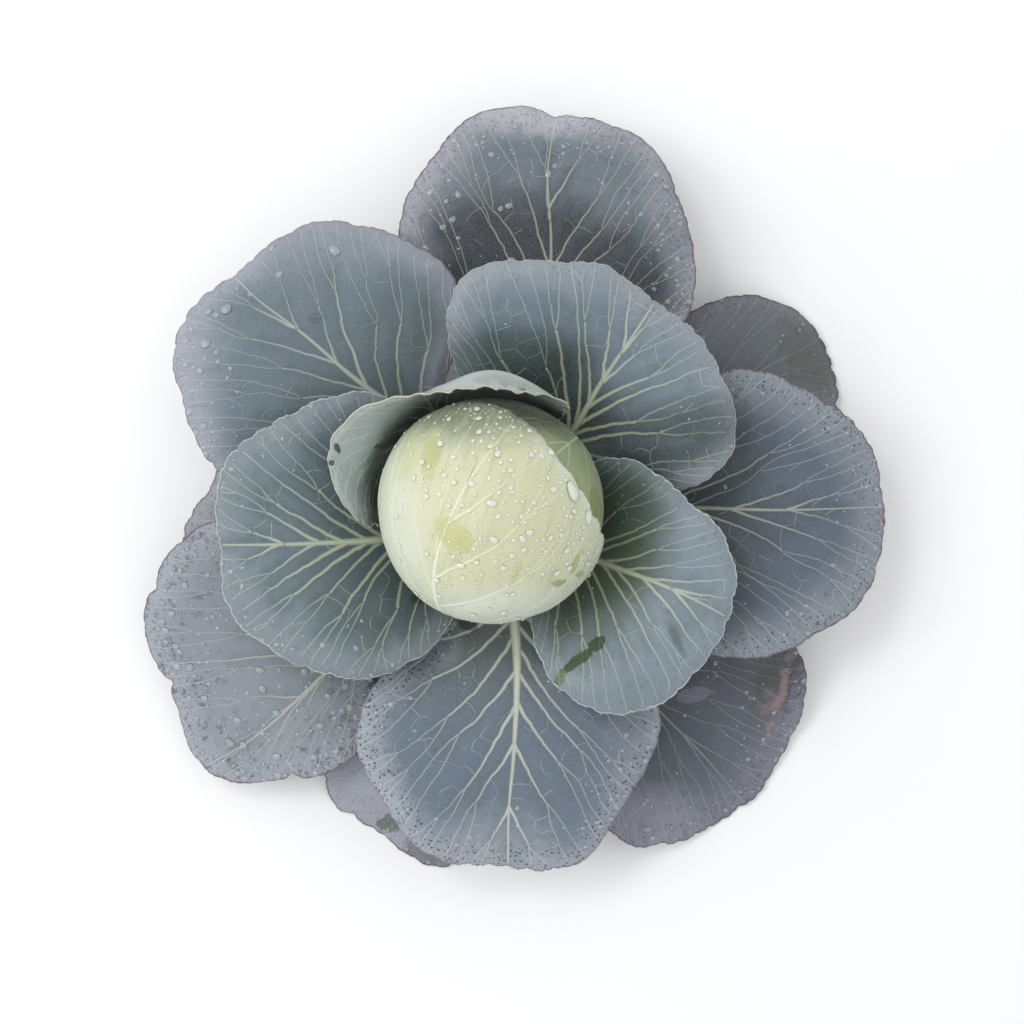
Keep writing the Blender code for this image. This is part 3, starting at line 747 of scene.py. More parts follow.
class VeinNetwork:
    """The veins of one leaf: a midrib, side veins that fork towards the margin, and a fine net."""

    TIE = 3.0                   # a thread of the net that ends so near to a vein is tied to it

    def __init__(self, form: Form, plan: VeinPlan) -> None:
        """Grow the veins of a leaf of this form by this plan."""
        self.form = form
        self.plan = plan
        self.random = np.random.default_rng(plan.seed)
        self.rim = form.reach(np.radians(np.arange(-180, 182)))
        self.veins: list[Vein] = []
        self._midrib()
        for side in (1, -1):
            self._side_veins(side)
        self.guides = list(self.veins)
        tracks = np.concatenate([vein.path for vein in self.veins])
        self._weave(tree_of(tracks), tracks)
        self.veins = self.veins[:1] + [part for vein in self.veins[1:] for part in self._within(vein)]

    def wide_points(self, least_width: float) -> np.ndarray:
        """Return chart places along the midrib and the side veins where they are at least so wide."""
        kept = [vein.path[vein.width >= least_width] for vein in self.guides]
        return np.concatenate([path for path in kept if len(path)])

    def _run(self, start: np.ndarray, heading: np.ndarray, end: np.ndarray,
             widths: tuple[float, float]) -> None:
        """Add one vein that leaves in a heading and bends to its end, with small irregular bends."""
        gap = end - start
        distance = float(np.linalg.norm(gap))
        count = max(4, int(distance / VEIN_STEP) + 1)
        t = np.linspace(0, 1, count)[:, None]
        first = start + 0.34 * distance * heading
        outward = unit(0.75 * unit(gap) + 0.25 * unit(end))
        second = end - 0.33 * distance * outward
        path = ((1 - t) ** 3 * start + 3 * t * (1 - t) ** 2 * first
                + 3 * t * t * (1 - t) * second + t ** 3 * end)
        walk = np.cumsum(self.random.normal(0, 0.3, count))
        walk -= np.linspace(walk[0], walk[-1], count)
        path = path + walk[:, None] * turned(unit(gap), 0.5 * math.pi)
        path[0] -= 0.5 * widths[0] * heading
        self.veins.append(Vein(path, widths[1] + (widths[0] - widths[1]) * (1 - t[:, 0]) ** SIDE_TAPER))

    def _midrib(self) -> None:
        """Add the midrib, which is broad at the stem and fine at the tip."""
        base, tip = self.form.base, self.form.margin_point(0.0, 0.97)
        count = int(np.linalg.norm(tip - base) / VEIN_STEP)
        share = np.linspace(0, 1, count)
        course = np.array(self.plan.course)
        aside = curve(course[:, 0], course[:, 1], share)
        path = base + share[:, None] * (tip - base) + aside[:, None] * turned(unit(tip - base), 0.5 * math.pi)
        taper = np.array(MIDRIB_TAPER)
        width = self.plan.midrib * curve(taper[:, 0], taper[:, 1], share)
        self.veins.append(Vein(path, np.maximum(width, FINEST_VEIN)))

    def _side_veins(self, side: int) -> None:
        """Add the veins on one side of the midrib."""
        midrib = self.veins[0]
        last = len(midrib.path) - 1
        fan = np.radians(np.array(self.plan.fan) + self.random.uniform(-3, 3, len(self.plan.fan)))
        lag = self.plan.lag if side < 0 else 0.0
        for order, start in enumerate(self.plan.starts):
            at = int(round(last * (start - lag + self.random.uniform(-0.016, 0.016))))
            at = min(max(at, 1), last - 1)
            origin = midrib.path[at]
            along = unit(midrib.path[at + 1] - midrib.path[at - 1])
            target = self.form.margin_point(side * 0.5 * (fan[order] + fan[order + 1]), 0.9)
            heading = unit(unit(target - origin) + 0.30 * along)
            width = self.plan.midrib * float(np.interp(order / len(self.plan.starts), (0, 1), SIDE_SHARES))
            width *= self.random.uniform(0.85, 1.15)
            self._branch(origin, heading, side * fan[order], side * fan[order + 1], width, 0)

    def _branch(self, start: np.ndarray, heading: np.ndarray, near: float, far: float, width: float,
                rank: int) -> None:
        """Add a vein that serves the margin between two angles, and its forks."""
        middle = near + (far - near) * self.random.uniform(0.42, 0.58)
        target = self.form.margin_point(middle, 0.985)
        gap = target - start
        distance = float(np.linalg.norm(gap))
        span = abs(far - near) * float(self.form.reach(np.array([middle]))[0])
        width = max(width, FINEST_VEIN)
        if rank == self.plan.forks or span < SMALLEST_SPAN or distance < SHORTEST_FORKED:
            self._run(start, heading, start + gap * self.random.uniform(0.9, 1.0), (width, FINEST_VEIN))
            return
        sideways = turned(gap, 0.5 * math.pi) * self.random.uniform(-0.04, 0.04)
        fork = start + gap * self.random.uniform(0.42, 0.62) + sideways
        after = max((LATER_FORK_SHARE if rank else FIRST_FORK_SHARE) * width, FINEST_VEIN)
        self._run(start, heading, fork, (width, after))
        split = near + (far - near) * self.random.uniform(0.36, 0.64)
        for low, high, turn in ((near, split, near - far), (split, far, far - near)):
            angle = math.copysign(self.random.uniform(0.14, 0.40), turn)
            share = abs(high - low) / abs(far - near)
            self._branch(fork, turned(unit(gap), angle), low, high, after * (0.66 + 0.44 * share), rank + 1)

    def _within(self, vein: Vein) -> list[Vein]:
        """Return the parts of a vein that lie on the blade."""
        away = np.hypot(vein.path[:, 0], vein.path[:, 1]) + 0.5 * vein.width
        on_blade = away < self.form.reach(np.arctan2(vein.path[:, 1], vein.path[:, 0]))
        cuts = np.flatnonzero(np.diff(on_blade)) + 1
        parts = zip(np.split(vein.path, cuts), np.split(vein.width, cuts), np.split(on_blade, cuts))
        return [Vein(path, width) for path, width, kept in parts if kept[0] and len(path) > 2]

    def _inside(self, place: np.ndarray, share: float) -> bool:
        """Return whether a chart place lies within a share of the way to the margin."""
        reach = self.rim[int(math.degrees(math.atan2(place[1], place[0])) + 180.5)]
        return math.hypot(place[0], place[1]) < share * reach

    def _meshes(self, tree: KDTree) -> tuple[np.ndarray, int]:
        """Return the middles of the net's meshes, then a ring beyond the margin; and how many lie within."""
        scatter = Scatter()
        for guide in sorted(self.guides, key=lambda each: -float(each.width.mean())):
            for side in (1, -1):
                at = float(self.random.uniform(1, 8)) / VEIN_STEP
                while at < len(guide.path) - 2:
                    here = guide.path[int(at)]
                    normal = turned(unit(guide.path[int(at) + 1] - here), 0.5 * side * math.pi)
                    off = float(self.random.uniform(*NET_OFFSET)) + 0.4 * float(guide.width[int(at)])
                    place = here + off * normal
                    if self._inside(place, 0.95) and tree.find((*place, 0.0))[2] > 0.75 * off:
                        scatter.add(place, NET_GAP)
                    at += float(self.random.uniform(*NET_PITCH)) / VEIN_STEP
        angles = self.random.uniform(-math.pi, math.pi, NET_TRIES)
        shares = 0.96 * self.random.uniform(0, 1, NET_TRIES) ** 0.5
        reach = self.form.reach(angles)
        for angle, radius in zip(angles, shares * reach):
            place = np.array((radius * math.cos(angle), radius * math.sin(angle)))
            if tree.find((*place, 0.0))[2] > NET_CLEARANCE:
                scatter.add(place, NET_FILL)
        angle = np.radians(np.arange(0, 360, 5.0))
        ring = self.form.reach(angle) + NET_BEYOND
        beyond = np.column_stack((ring * np.cos(angle), ring * np.sin(angle)))
        return np.concatenate((np.array(scatter.places), beyond)), len(scatter.places)

    def _weave(self, tree: KDTree, tracks: np.ndarray) -> None:
        """Add the fine net along the borders of irregular meshes, tied to the veins that they meet."""
        seeds, within = self._meshes(tree)
        knots, borders = cell_borders(seeds, within)
        near = [tree.find((*knot, 0.0)) for knot in knots]
        tied = np.array([found[2] < self.TIE for found in near])
        knots = np.where(tied[:, None], tracks[[found[1] for found in near]], knots)
        kept = np.array([self._inside(knot, 0.99) for knot in knots])
        borders = [(a, b) for a, b in borders if kept[a] and kept[b] and not (tied[a] and tied[b])]
        shown = ~self.form.covered(np.array([0.5 * (knots[a] + knots[b]) for a, b in borders]))
        for (a, b), seen in zip(borders, shown):
            chance, bend, width = self.random.uniform(0, 1, 3)
            start, end = knots[a], knots[b]
            length = float(np.linalg.norm(end - start))
            if not seen or chance < self.plan.gaps or not THREAD_LENGTHS[0] < length < THREAD_LENGTHS[1]:
                continue
            count = max(4, int(length / THREAD_STEP) + 2)
            t = np.linspace(0, 1, count)[:, None]
            bow = t * (1 - t) * (0.8 * bend - 0.4) * turned(end - start, 0.5 * math.pi)
            path = start + t * (end - start) + bow
            self.veins.append(Vein(path, np.full(count, self.plan.net * (0.6 + 0.6 * width))))


def tree_of(points: np.ndarray) -> KDTree:
    """Return a search tree of chart places."""
    tree = KDTree(len(points))
    for index, (x, y) in enumerate(points):
        tree.insert((x, y, 0.0), index)
    tree.balance()
    return tree


def cell_borders(seeds: np.ndarray, within: int) -> tuple[np.ndarray, list[tuple[int, int]]]:
    """Return the knots and the borders of the cells of seeds, where each place belongs to its nearest seed.

    Args:
        seeds: the cells' middles.
        within: how many of them count; borders of the others are left out.

    Returns:
        The knots where borders meet, and each border's two knots.
    """
    _, _, faces, *_ = delaunay_2d_cdt([Vector(seed) for seed in seeds], [], [], 0, 1e-6)
    corners = seeds[np.array(faces)]
    a, b, c = corners[:, 0], corners[:, 1] - corners[:, 0], corners[:, 2] - corners[:, 0]
    twice = 2 * (b[:, 0] * c[:, 1] - b[:, 1] * c[:, 0])
    twice = np.where(np.abs(twice) > 1e-6, twice, 1e-6)
    bb, cc = (b * b).sum(axis=1), (c * c).sum(axis=1)
    centres = a + np.column_stack((c[:, 1] * bb - b[:, 1] * cc, b[:, 0] * cc - c[:, 0] * bb)) / twice[:, None]
    knots = 0.65 * centres + 0.35 * corners.mean(axis=1)
    sides: dict[tuple[int, int], list[int]] = {}
    for index, face in enumerate(faces):
        for first, second in ((0, 1), (1, 2), (2, 0)):
            sides.setdefault(tuple(sorted((face[first], face[second]))), []).append(index)
    borders = [(pair[0], pair[1]) for key, pair in sides.items() if len(pair) == 2 and key[1] < within]
    return knots, borders


# --- meshes -----------------------------------------------------------------------------------------------
def store(mesh: bpy.types.Mesh, name: str, values: np.ndarray) -> None:
    """Store one number for each vertex of a mesh, for its material."""
    layer = mesh.attributes.new(name, "FLOAT", "POINT")
    layer.data.foreach_set("value", np.ascontiguousarray(values, dtype=np.float32))


def mesh_of(name: str, points: np.ndarray, faces: list[tuple[int, ...]]) -> bpy.types.Mesh:
    """Return a smooth mesh from points in millimetres and faces."""
    mesh = bpy.data.meshes.new(name)
    mesh.from_pydata((points * MM).tolist(), [], faces)
    mesh.shade_smooth()
    return mesh


def dress(name: str, mesh: bpy.types.Mesh, material: bpy.types.Material,
          replaced: str | None = None) -> bpy.types.Object:
    """Add a piece of the cabbage to the scene.

    Args:
        name: the piece's name.
        mesh: its mesh.
        material: its finish.
        replaced: the solid that it stands for, if any.

    Returns:
        The new object.
    """
    piece = bpy.data.objects.new(name, mesh)
    bpy.context.scene.collection.objects.link(piece)
    mesh.materials.append(material)
    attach(piece, "root")
    if replaced:
        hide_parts(replaced)
    LOG.info("%s: %d faces", name, len(mesh.polygons))
    return piece


def grid_mesh(name: str, cells: tuple[int, int]) -> tuple[bpy.types.Mesh, np.ndarray, np.ndarray]:
    """Return a square grid mesh and its vertices' places from -1 to 1."""
    shape = bmesh.new()
    bmesh.ops.create_grid(shape, x_segments=cells[0], y_segments=cells[1], size=1.0)
    mesh = bpy.data.meshes.new(name)
    shape.to_mesh(mesh)
    shape.free()
    flat = np.empty(3 * len(mesh.vertices))
    mesh.vertices.foreach_get("co", flat)
    points = np.clip(flat.reshape(-1, 3), -1, 1)
    mesh.shade_smooth()
    return mesh, points[:, 0], points[:, 1]


def set_points(mesh: bpy.types.Mesh, points: np.ndarray) -> None:
    """Place a mesh's vertices, given in millimetres."""
    mesh.vertices.foreach_set("co", (points * MM).ravel())
    mesh.update()


# Cross sections of veins: (share of the half width, height where positive or depth where negative, paleness).
THIN_SECTION = ((1.5, -0.3, 0.0), (0, 1, 1.0), (-1.5, -0.3, 0.0))
FINE_SECTION = ((1.6, -0.2, 0.0), (0.6, 0.55, 0.4), (0, 1, 1.0), (-0.6, 0.55, 0.4), (-1.6, -0.2, 0.0),
                (-0.5, -1, 0.8), (0.5, -1, 0.8))
WIDE_SECTION = tuple((1.25 * math.cos(turn), math.sin(turn), abs(math.sin(turn)) ** 2.6)
                     for turn in np.linspace(0, 2 * math.pi, 12, endpoint=False))
THIN_BELOW, FINE_BELOW = 1.25, 2.2      # widths up to which a vein has these sections
GUIDE_WIDTH = 1.3               # least width of the veins that the blade bulges between
CROWN, CROWN_GROWTH = 0.14, 0.08        # how high a vein stands, and by how much more for its width
STOUT_FROM, STOUT_AT = 1.0, 2.4         # widths between which a vein becomes a rib below the blade
DEEPEST_WIDTH = 7.0             # a wider rib is no deeper

LONG_BEAD = 1.38                # a drop that is longer for its width hangs along a margin
BEAD_GAP = 0.2                  # least distance between two drops
# Drops larger than a radius in millimetres: how many points a ring of them has, and how many rings.
BEAD_RINGS = ((1.3, 18, 6), (0.8, 10, 4), (0.0, 8, 3))
BEAD_FOOT = -0.35               # latitude of a drop's lowest ring, in radians


class Sheet:
    """One dressed leaf: its blade, its veins and its drops of dew."""

    PUFF_WIDTH = 7.0
    PUFF_RIM = 9.0

    def __init__(self, name: str, form: Form, plan: VeinPlan, dew: DewPlan, puff: float,
                 thickness: float = SHEET_THICKNESS) -> None:
        """Keep the leaf's sizes and grow its veins."""
        self.name = name
        self.form = form
        self.dew = dew
        self.puff = puff
        self.thickness = thickness
        self.network = VeinNetwork(form, plan)
        self.random = np.random.default_rng(plan.seed + 100)
        self.wide_tree = tree_of(self.network.wide_points(GUIDE_WIDTH))
        self.skin: BVHTree | None = None

    def blade(self) -> bpy.types.Mesh:
        """Return the blade's mesh, which bulges between its veins."""
        mesh, u, v = grid_mesh(self.name, self.form.cells)
        chart = self.form.spread(u, v)
        points, normals = self.form.surface(chart)
        to_vein = np.array([self.wide_tree.find((x, y, 0.0))[2] for x, y in chart])
        to_margin = self.form.to_margin(chart)
        bulge = (1 - np.exp(-(to_vein / self.PUFF_WIDTH) ** 2)) * smooth_step(0, self.PUFF_RIM, to_margin)
        points = points + normals * self.puff * bulge[:, None]
        set_points(mesh, points)
        store(mesh, "to_vein", to_vein)
        store(mesh, "to_margin", to_margin)
        self.skin = BVHTree.FromPolygons(points.tolist(), [tuple(face.vertices) for face in mesh.polygons])
        return mesh

    def on_blade(self, chart: np.ndarray) -> tuple[np.ndarray, np.ndarray]:
        """Return the points on the blade's upper side, and its normals, at chart places."""
        points, normals = self.form.surface(chart)
        for index, (point, normal) in enumerate(zip(points, normals)):
            hit = self.skin.ray_cast(Vector(point + 6 * normal), Vector(-normal), 12.0)[0]
            if hit:
                points[index] = hit
        return points + normals * 0.5 * self.thickness, normals

    def ribs(self) -> bpy.types.Mesh:
        """Return one mesh of all the veins: low ridges above, and rounded ribs below the wide ones."""
        veins = self.network.veins
        chart = np.concatenate([vein.path for vein in veins])
        points, normals = self.on_blade(chart)
        to_margin = self.form.to_margin(chart)
        vertices, strengths, margins = [], [], []
        faces: list[tuple[int, ...]] = []
        first, total = 0, 0
        for vein in veins:
            count = len(vein.path)
            part = slice(first, first + count)
            first += count
            widest = float(vein.width.max())
            section = np.array(THIN_SECTION if widest < THIN_BELOW
                               else FINE_SECTION if widest < FINE_BELOW else WIDE_SECTION)
            around = len(section)
            along = unit(np.gradient(points[part], axis=0))
            side = unit(np.cross(normals[part], along))
            width = vein.width[:, None]
            crown = CROWN + CROWN_GROWTH * width
            stout = smooth_step(STOUT_FROM, STOUT_AT, width)
            rib = 0.5 * self.thickness + 0.4 * np.minimum(width, DEEPEST_WIDTH)
            depth = 0.5 * self.thickness + rib * stout
            rise = np.where(section[:, 1] > 0, crown * section[:, 1], depth * section[:, 1])
            reach = 0.5 * width * section[:, 0]
            ring = (points[part][:, None, :] + side[:, None, :] * reach[:, :, None]
                    + normals[part][:, None, :] * rise[:, :, None])
            vertices.append(ring.reshape(-1, 3))
            pale = np.interp(vein.width, *VEIN_PALENESS)
            strengths.append((pale[:, None] * section[:, 2]).ravel())
            margins.append(np.repeat(to_margin[part], around))
            faces += tube_faces(total, count, around)
            total += count * around
        mesh = mesh_of(f"veins_of_{self.name}", np.concatenate(vertices), faces)
        store(mesh, "strength", np.concatenate(strengths))
        store(mesh, "to_margin", np.concatenate(margins))
        return mesh

    def drops(self) -> bpy.types.Mesh | None:
        """Return one mesh of the drops of dew, or nothing where the leaf carries none."""
        plan = self.dew
        if not plan.count:
            return None
        share = self.random.uniform(0, 1, plan.count) ** (0.5 / (1 + 3 * plan.rim)) * 0.985
        angle = self.random.uniform(-math.pi, math.pi, plan.count)
        radius = share * self.form.reach(angle)
        chart = np.column_stack((radius * np.cos(angle), radius * np.sin(angle)))
        centres, normals = self.on_blade(chart)
        size = np.minimum(plan.typical * np.exp(0.55 * self.random.standard_normal(plan.count)), plan.largest)
        stretch = self.random.uniform(1.0, 1.3, plan.count)
        shown = ~self.form.covered(chart) & (normals[:, 2] > 0)
        if plan.focus:
            off = np.linalg.norm(centres[:, :2] - plan.focus, axis=1)
            shown &= self.random.uniform(0, 1, plan.count) < np.exp(-0.5 * (off / plan.spread) ** 2)
        for x, y, bead, length in plan.beads:
            off = np.linalg.norm(centres[:, :2] - (x, y), axis=1) + 1000 * (normals[:, 2] < 0)
            nearest = int(off.argmin())
            size[nearest], stretch[nearest], shown[nearest] = bead, length, True
        chosen: list[int] = []
        for index in np.argsort(-size * shown)[:int(shown.sum())]:
            gaps = np.linalg.norm(centres[chosen] - centres[index], axis=1) - size[chosen] - size[index]
            if not chosen or gaps.min() > BEAD_GAP:
                chosen.append(int(index))
        if not chosen:
            return None
        vertices: list[np.ndarray] = []
        crowns: list[np.ndarray] = []
        faces: list[tuple[int, ...]] = []
        total = 0
        for index in chosen:
            centre, normal, bead = centres[index], normals[index], size[index]
            around, rings = next((points, rows) for above, points, rows in BEAD_RINGS if bead > above)
            spin = self.random.uniform(0, math.pi)
            if stretch[index] > LONG_BEAD:
                spin = math.atan2(centre[1], centre[0])
            first = unit(np.cross(normal, (math.cos(spin), math.sin(spin), 0.2)))
            second = np.cross(normal, first)
            turn = np.linspace(0, 2 * math.pi, around, endpoint=False)
            wave = 1 + 0.06 * np.sin(2 * turn + spin) + 0.05 * np.sin(3 * turn + 2 * spin)
            height = bead * self.random.uniform(0.5, 0.7)
            for tilt in np.linspace(BEAD_FOOT, 0.5 * math.pi, rings + 1)[:-1]:
                flat = bead * math.cos(tilt) * wave
                vertices.append(centre + np.outer(flat * np.cos(turn) * stretch[index], first)
                                + np.outer(flat * np.sin(turn), second) + normal * height * math.sin(tilt))
                crowns.append(np.full(around, max(math.sin(tilt), 0.0)))
            vertices.append((centre + normal * height)[None, :])
            crowns.append(np.ones(1))
            top = total + rings * around
            faces += bands(total, rings, around) + fan(top - around, top, around)
            faces.append(tuple(total + k for k in reversed(range(around))))
            total = top + 1
        mesh = mesh_of(f"dew_on_{self.name}", np.concatenate(vertices), faces)
        store(mesh, "crown", np.concatenate(crowns))
        return mesh

    def build(self, finish: LeafFinish, dew_finish: bpy.types.Material, slot: Slot) -> None:
        """Make the blade, the veins and the dew, and dress them."""
        piece = dress(f"{self.name}_blade", self.blade(), finish.blade(f"{self.name}_skin"), self.name)
        wall = piece.modifiers.new("thickness", "SOLIDIFY")
        wall.thickness = self.thickness * MM
        wall.offset = 0.0
        dress(f"veins_of_{self.name}", self.ribs(), finish.veins(f"{self.name}_veins"))
        dew = self.drops()
        if dew:
            dress(f"dew_on_{self.name}", dew, dew_finish)


def tube_faces(first: int, count: int, around: int) -> list[tuple[int, ...]]:
    """Return the faces of a closed tube of rings, from the number of its first vertex."""
    ends = [tuple(first + k for k in reversed(range(around))),
            tuple(first + (count - 1) * around + k for k in range(around))]
    return bands(first, count, around) + ends


def bands(first: int, count: int, around: int) -> list[tuple[int, ...]]:
    """Return the faces between rings that follow each other, from the number of their first vertex."""
    return [(low + k, low + (k + 1) % around, low + around + (k + 1) % around, low + around + k)
            for low in range(first, first + (count - 1) * around, around) for k in range(around)]


def fan(ring: int, tip: int, around: int) -> list[tuple[int, ...]]:
    """Return the faces between a ring and one vertex."""
    return [(ring + k, ring + (k + 1) % around, tip) for k in range(around)]


# --- shader maths -----------------------------------------------------------------------------------------
Number = Any


class Wire:
    """A number that varies over a surface; Python's operators add its Math nodes."""

    def __init__(self, graph: Graph, socket: bpy.types.NodeSocket) -> None:
        """Wrap a socket of a graph."""
        self.graph = graph
        self.socket = socket

    def __add__(self, other: Number) -> Wire:
        """Return self + other."""
        return self.graph.math("ADD", self, other)

    def __radd__(self, other: Number) -> Wire:
        """Return other + self."""
        return self.graph.math("ADD", other, self)

    def __sub__(self, other: Number) -> Wire:
        """Return self - other."""
        return self.graph.math("SUBTRACT", self, other)

    def __rsub__(self, other: Number) -> Wire:
        """Return other - self."""
        return self.graph.math("SUBTRACT", other, self)

    def __mul__(self, other: Number) -> Wire:
        """Return self * other."""
        return self.graph.math("MULTIPLY", self, other)

    def __rmul__(self, other: Number) -> Wire:
        """Return other * self."""
        return self.graph.math("MULTIPLY", other, self)

    def __truediv__(self, other: Number) -> Wire:
        """Return self / other."""
        return self.graph.math("DIVIDE", self, other)

    def __rtruediv__(self, other: Number) -> Wire:
        """Return other / self."""
        return self.graph.math("DIVIDE", other, self)

    def __pow__(self, other: Number) -> Wire:
        """Return self ** other."""
        return self.graph.math("POWER", self, other)

    def at_least(self, other: Number) -> Wire:
        """Return the larger of self and other."""
        return self.graph.math("MAXIMUM", self, other)

    def step(self, low: float, high: float) -> Wire:
        """Return a soft rise from 0 at low to 1 at high; it falls where high is below low."""
        flip = high < low
        ends = (high, low) if flip else (low, high)
        made = self.graph.node("ShaderNodeMapRange", {"interpolation_type": "SMOOTHSTEP"},
                               {"Value": self, "From Min": ends[0], "From Max": ends[1]})
        rise = Wire(self.graph, made.outputs["Result"])
        return 1 - rise if flip else rise


class Graph:
    """The nodes of one material."""

    def __init__(self, name: str) -> None:
        """Start a material of this name."""
        self.material = bpy.data.materials.new(name)
        self.material.use_nodes = True
        self.tree = self.material.node_tree
        self.shader = self.tree.nodes["Principled BSDF"]

    def node(self, kind: str, settings: dict[str, Any], inputs: dict[Any, Any]) -> bpy.types.Node:
        """Add a node.

        Args:
            kind: the node's type.
            settings: its properties, which are set first.
            inputs: values or wires for its sockets, by name or number.

        Returns:
            The new node.
        """
        made = self.tree.nodes.new(kind)
        for key, value in settings.items():
            setattr(made, key, value)
        for key, value in inputs.items():
            self.feed(made.inputs[key], value)
        return made

    def shade(self, **inputs: Any) -> bpy.types.Material:
        """Feed the shader's sockets, named with _ for a space, and return the material."""
        for name, value in inputs.items():
            self.feed(self.shader.inputs[name.replace("_", " ")], value)
        return self.material

    def feed(self, socket: bpy.types.NodeSocket, value: Any) -> None:
        """Link a wire or a socket into a socket, or set its value."""
        if isinstance(value, Wire):
            self.tree.links.new(value.socket, socket)
        elif isinstance(value, bpy.types.NodeSocket):
            self.tree.links.new(value, socket)
        else:
            socket.default_value = value

    def math(self, operation: str, first: Number, second: Number) -> Wire:
        """Return the wire of a Math node."""
        made = self.node("ShaderNodeMath", {"operation": operation}, {0: first, 1: second})
        return Wire(self, made.outputs[0])

    def attribute(self, name: str) -> Wire:
        """Return a number stored at the mesh's vertices."""
        made = self.node("ShaderNodeAttribute", {"attribute_name": name}, {})
        return Wire(self, made.outputs["Fac"])

    def place(self) -> bpy.types.NodeSocket:
        """Return the surface's place in the object's own metres."""
        return self.node("ShaderNodeTexCoord", {}, {}).outputs["Object"]

    def noise(self, size_mm: float, detail: float, roughness: float) -> Wire:
        """Return clouds of about a size, from 0 to 1."""
        made = self.node("ShaderNodeTexNoise", {}, {
            "Vector": self.place(), "Scale": 1000.0 / size_mm, "Detail": detail, "Roughness": roughness})
        return Wire(self, made.outputs[0])

    def dots(self, gap_mm: float, size: float) -> Wire:
        """Return round dots a gap apart, from 0 to 1; size is their radius as a share of the gap."""
        made = self.node("ShaderNodeTexVoronoi", {}, {"Vector": self.place(), "Scale": 1000.0 / gap_mm})
        return Wire(self, made.outputs["Distance"]).step(size * 1.3, size * 0.7)

    def streaks(self, gap_mm: float, turn: float, stretch: float) -> Wire:
        """Return clouds drawn out along a direction, in degrees, from 0 to 1."""
        x, y, z = self.axes()
        along, across = math.cos(math.radians(turn)), math.sin(math.radians(turn))
        drawn = self.node("ShaderNodeCombineXYZ", {}, {
            0: x * across - y * along, 1: (x * along + y * across) / stretch, 2: z / stretch})
        made = self.node("ShaderNodeTexNoise", {}, {
            "Vector": drawn.outputs[0], "Scale": 1000.0 / gap_mm, "Detail": 3.0})
        return Wire(self, made.outputs[0])

    def axes(self) -> tuple[Wire, Wire, Wire]:
        """Return the surface's place along each axis, in metres."""
        parts = self.node("ShaderNodeSeparateXYZ", {}, {0: self.place()})
        return Wire(self, parts.outputs[0]), Wire(self, parts.outputs[1]), Wire(self, parts.outputs[2])

    def mix(self, factor: Number, first: Any, second: Any) -> bpy.types.NodeSocket:
        """Return a mix of two colours."""
        made = self.node("ShaderNodeMix", {"data_type": "RGBA", "clamp_factor": True}, {})
        self.feed(made.inputs[0], factor)
        self.feed(made.inputs[6], first)
        self.feed(made.inputs[7], second)
        return made.outputs[2]

    def bump(self, height: Wire, distance_mm: float, strength: float = 1.0) -> bpy.types.NodeSocket:
        """Return a normal bent by a height field."""
        made = self.node("ShaderNodeBump", {}, {
            "Height": height, "Distance": distance_mm * MM, "Strength": strength})
        return made.outputs["Normal"]

    def spot(self, patch: Patch, x: Wire, y: Wire, ragged: Wire) -> Wire:
        """Return a patch's strength inside it and 0 outside, at the place x, y; ragged bends its edge."""
        turn = math.radians(patch.turn)
        x, y = x - patch.centre[0] * MM, y - patch.centre[1] * MM
        along = (x * math.cos(turn) + y * math.sin(turn)) / (patch.size[0] * MM)
        across = (y * math.cos(turn) - x * math.sin(turn)) / (patch.size[1] * MM)
        distance = (along * along + across * across) ** 0.5 + (ragged - 0.5) * patch.raggedness
        return distance.step(1 + patch.softness, 1 - patch.softness) * patch.strength


# --- finishes ---------------------------------------------------------------------------------------------
Colour = tuple[float, float, float, float]


def tone(red: float, green: float, blue: float) -> Colour:
    """Return a colour given on the usual 0 to 255 display scale as linear light."""
    channels = [channel / 255 for channel in (red, green, blue)]
    linear = [c / 12.92 if c <= 0.04045 else ((c + 0.055) / 1.055) ** 2.4 for c in channels]
    return (*linear, 1.0)


@dataclass(frozen=True)
class Patch:
    """A mark on the leaves, a patch of painted shade, or a patch of painted light, placed as seen from above.

    Attributes:
        centre: its place in millimetres.
        size: its half length and half width in millimetres.
        turn: the direction of its length, in degrees.
        colour: its colour.
        strength: how much of its colour shows.
        softness: how wide its edge is, as a share of its size.
        raggedness: how ragged its edge is.
    """

    centre: tuple[float, float]
    size: tuple[float, float]
    turn: float
    colour: Colour
    strength: float = 0.8
    softness: float = 0.12
    raggedness: float = 1.2


LEAF_GLOSS = {"Specular_IOR_Level": 0.35, "Sheen_Weight": 0.12, "Sheen_Roughness": 0.5}


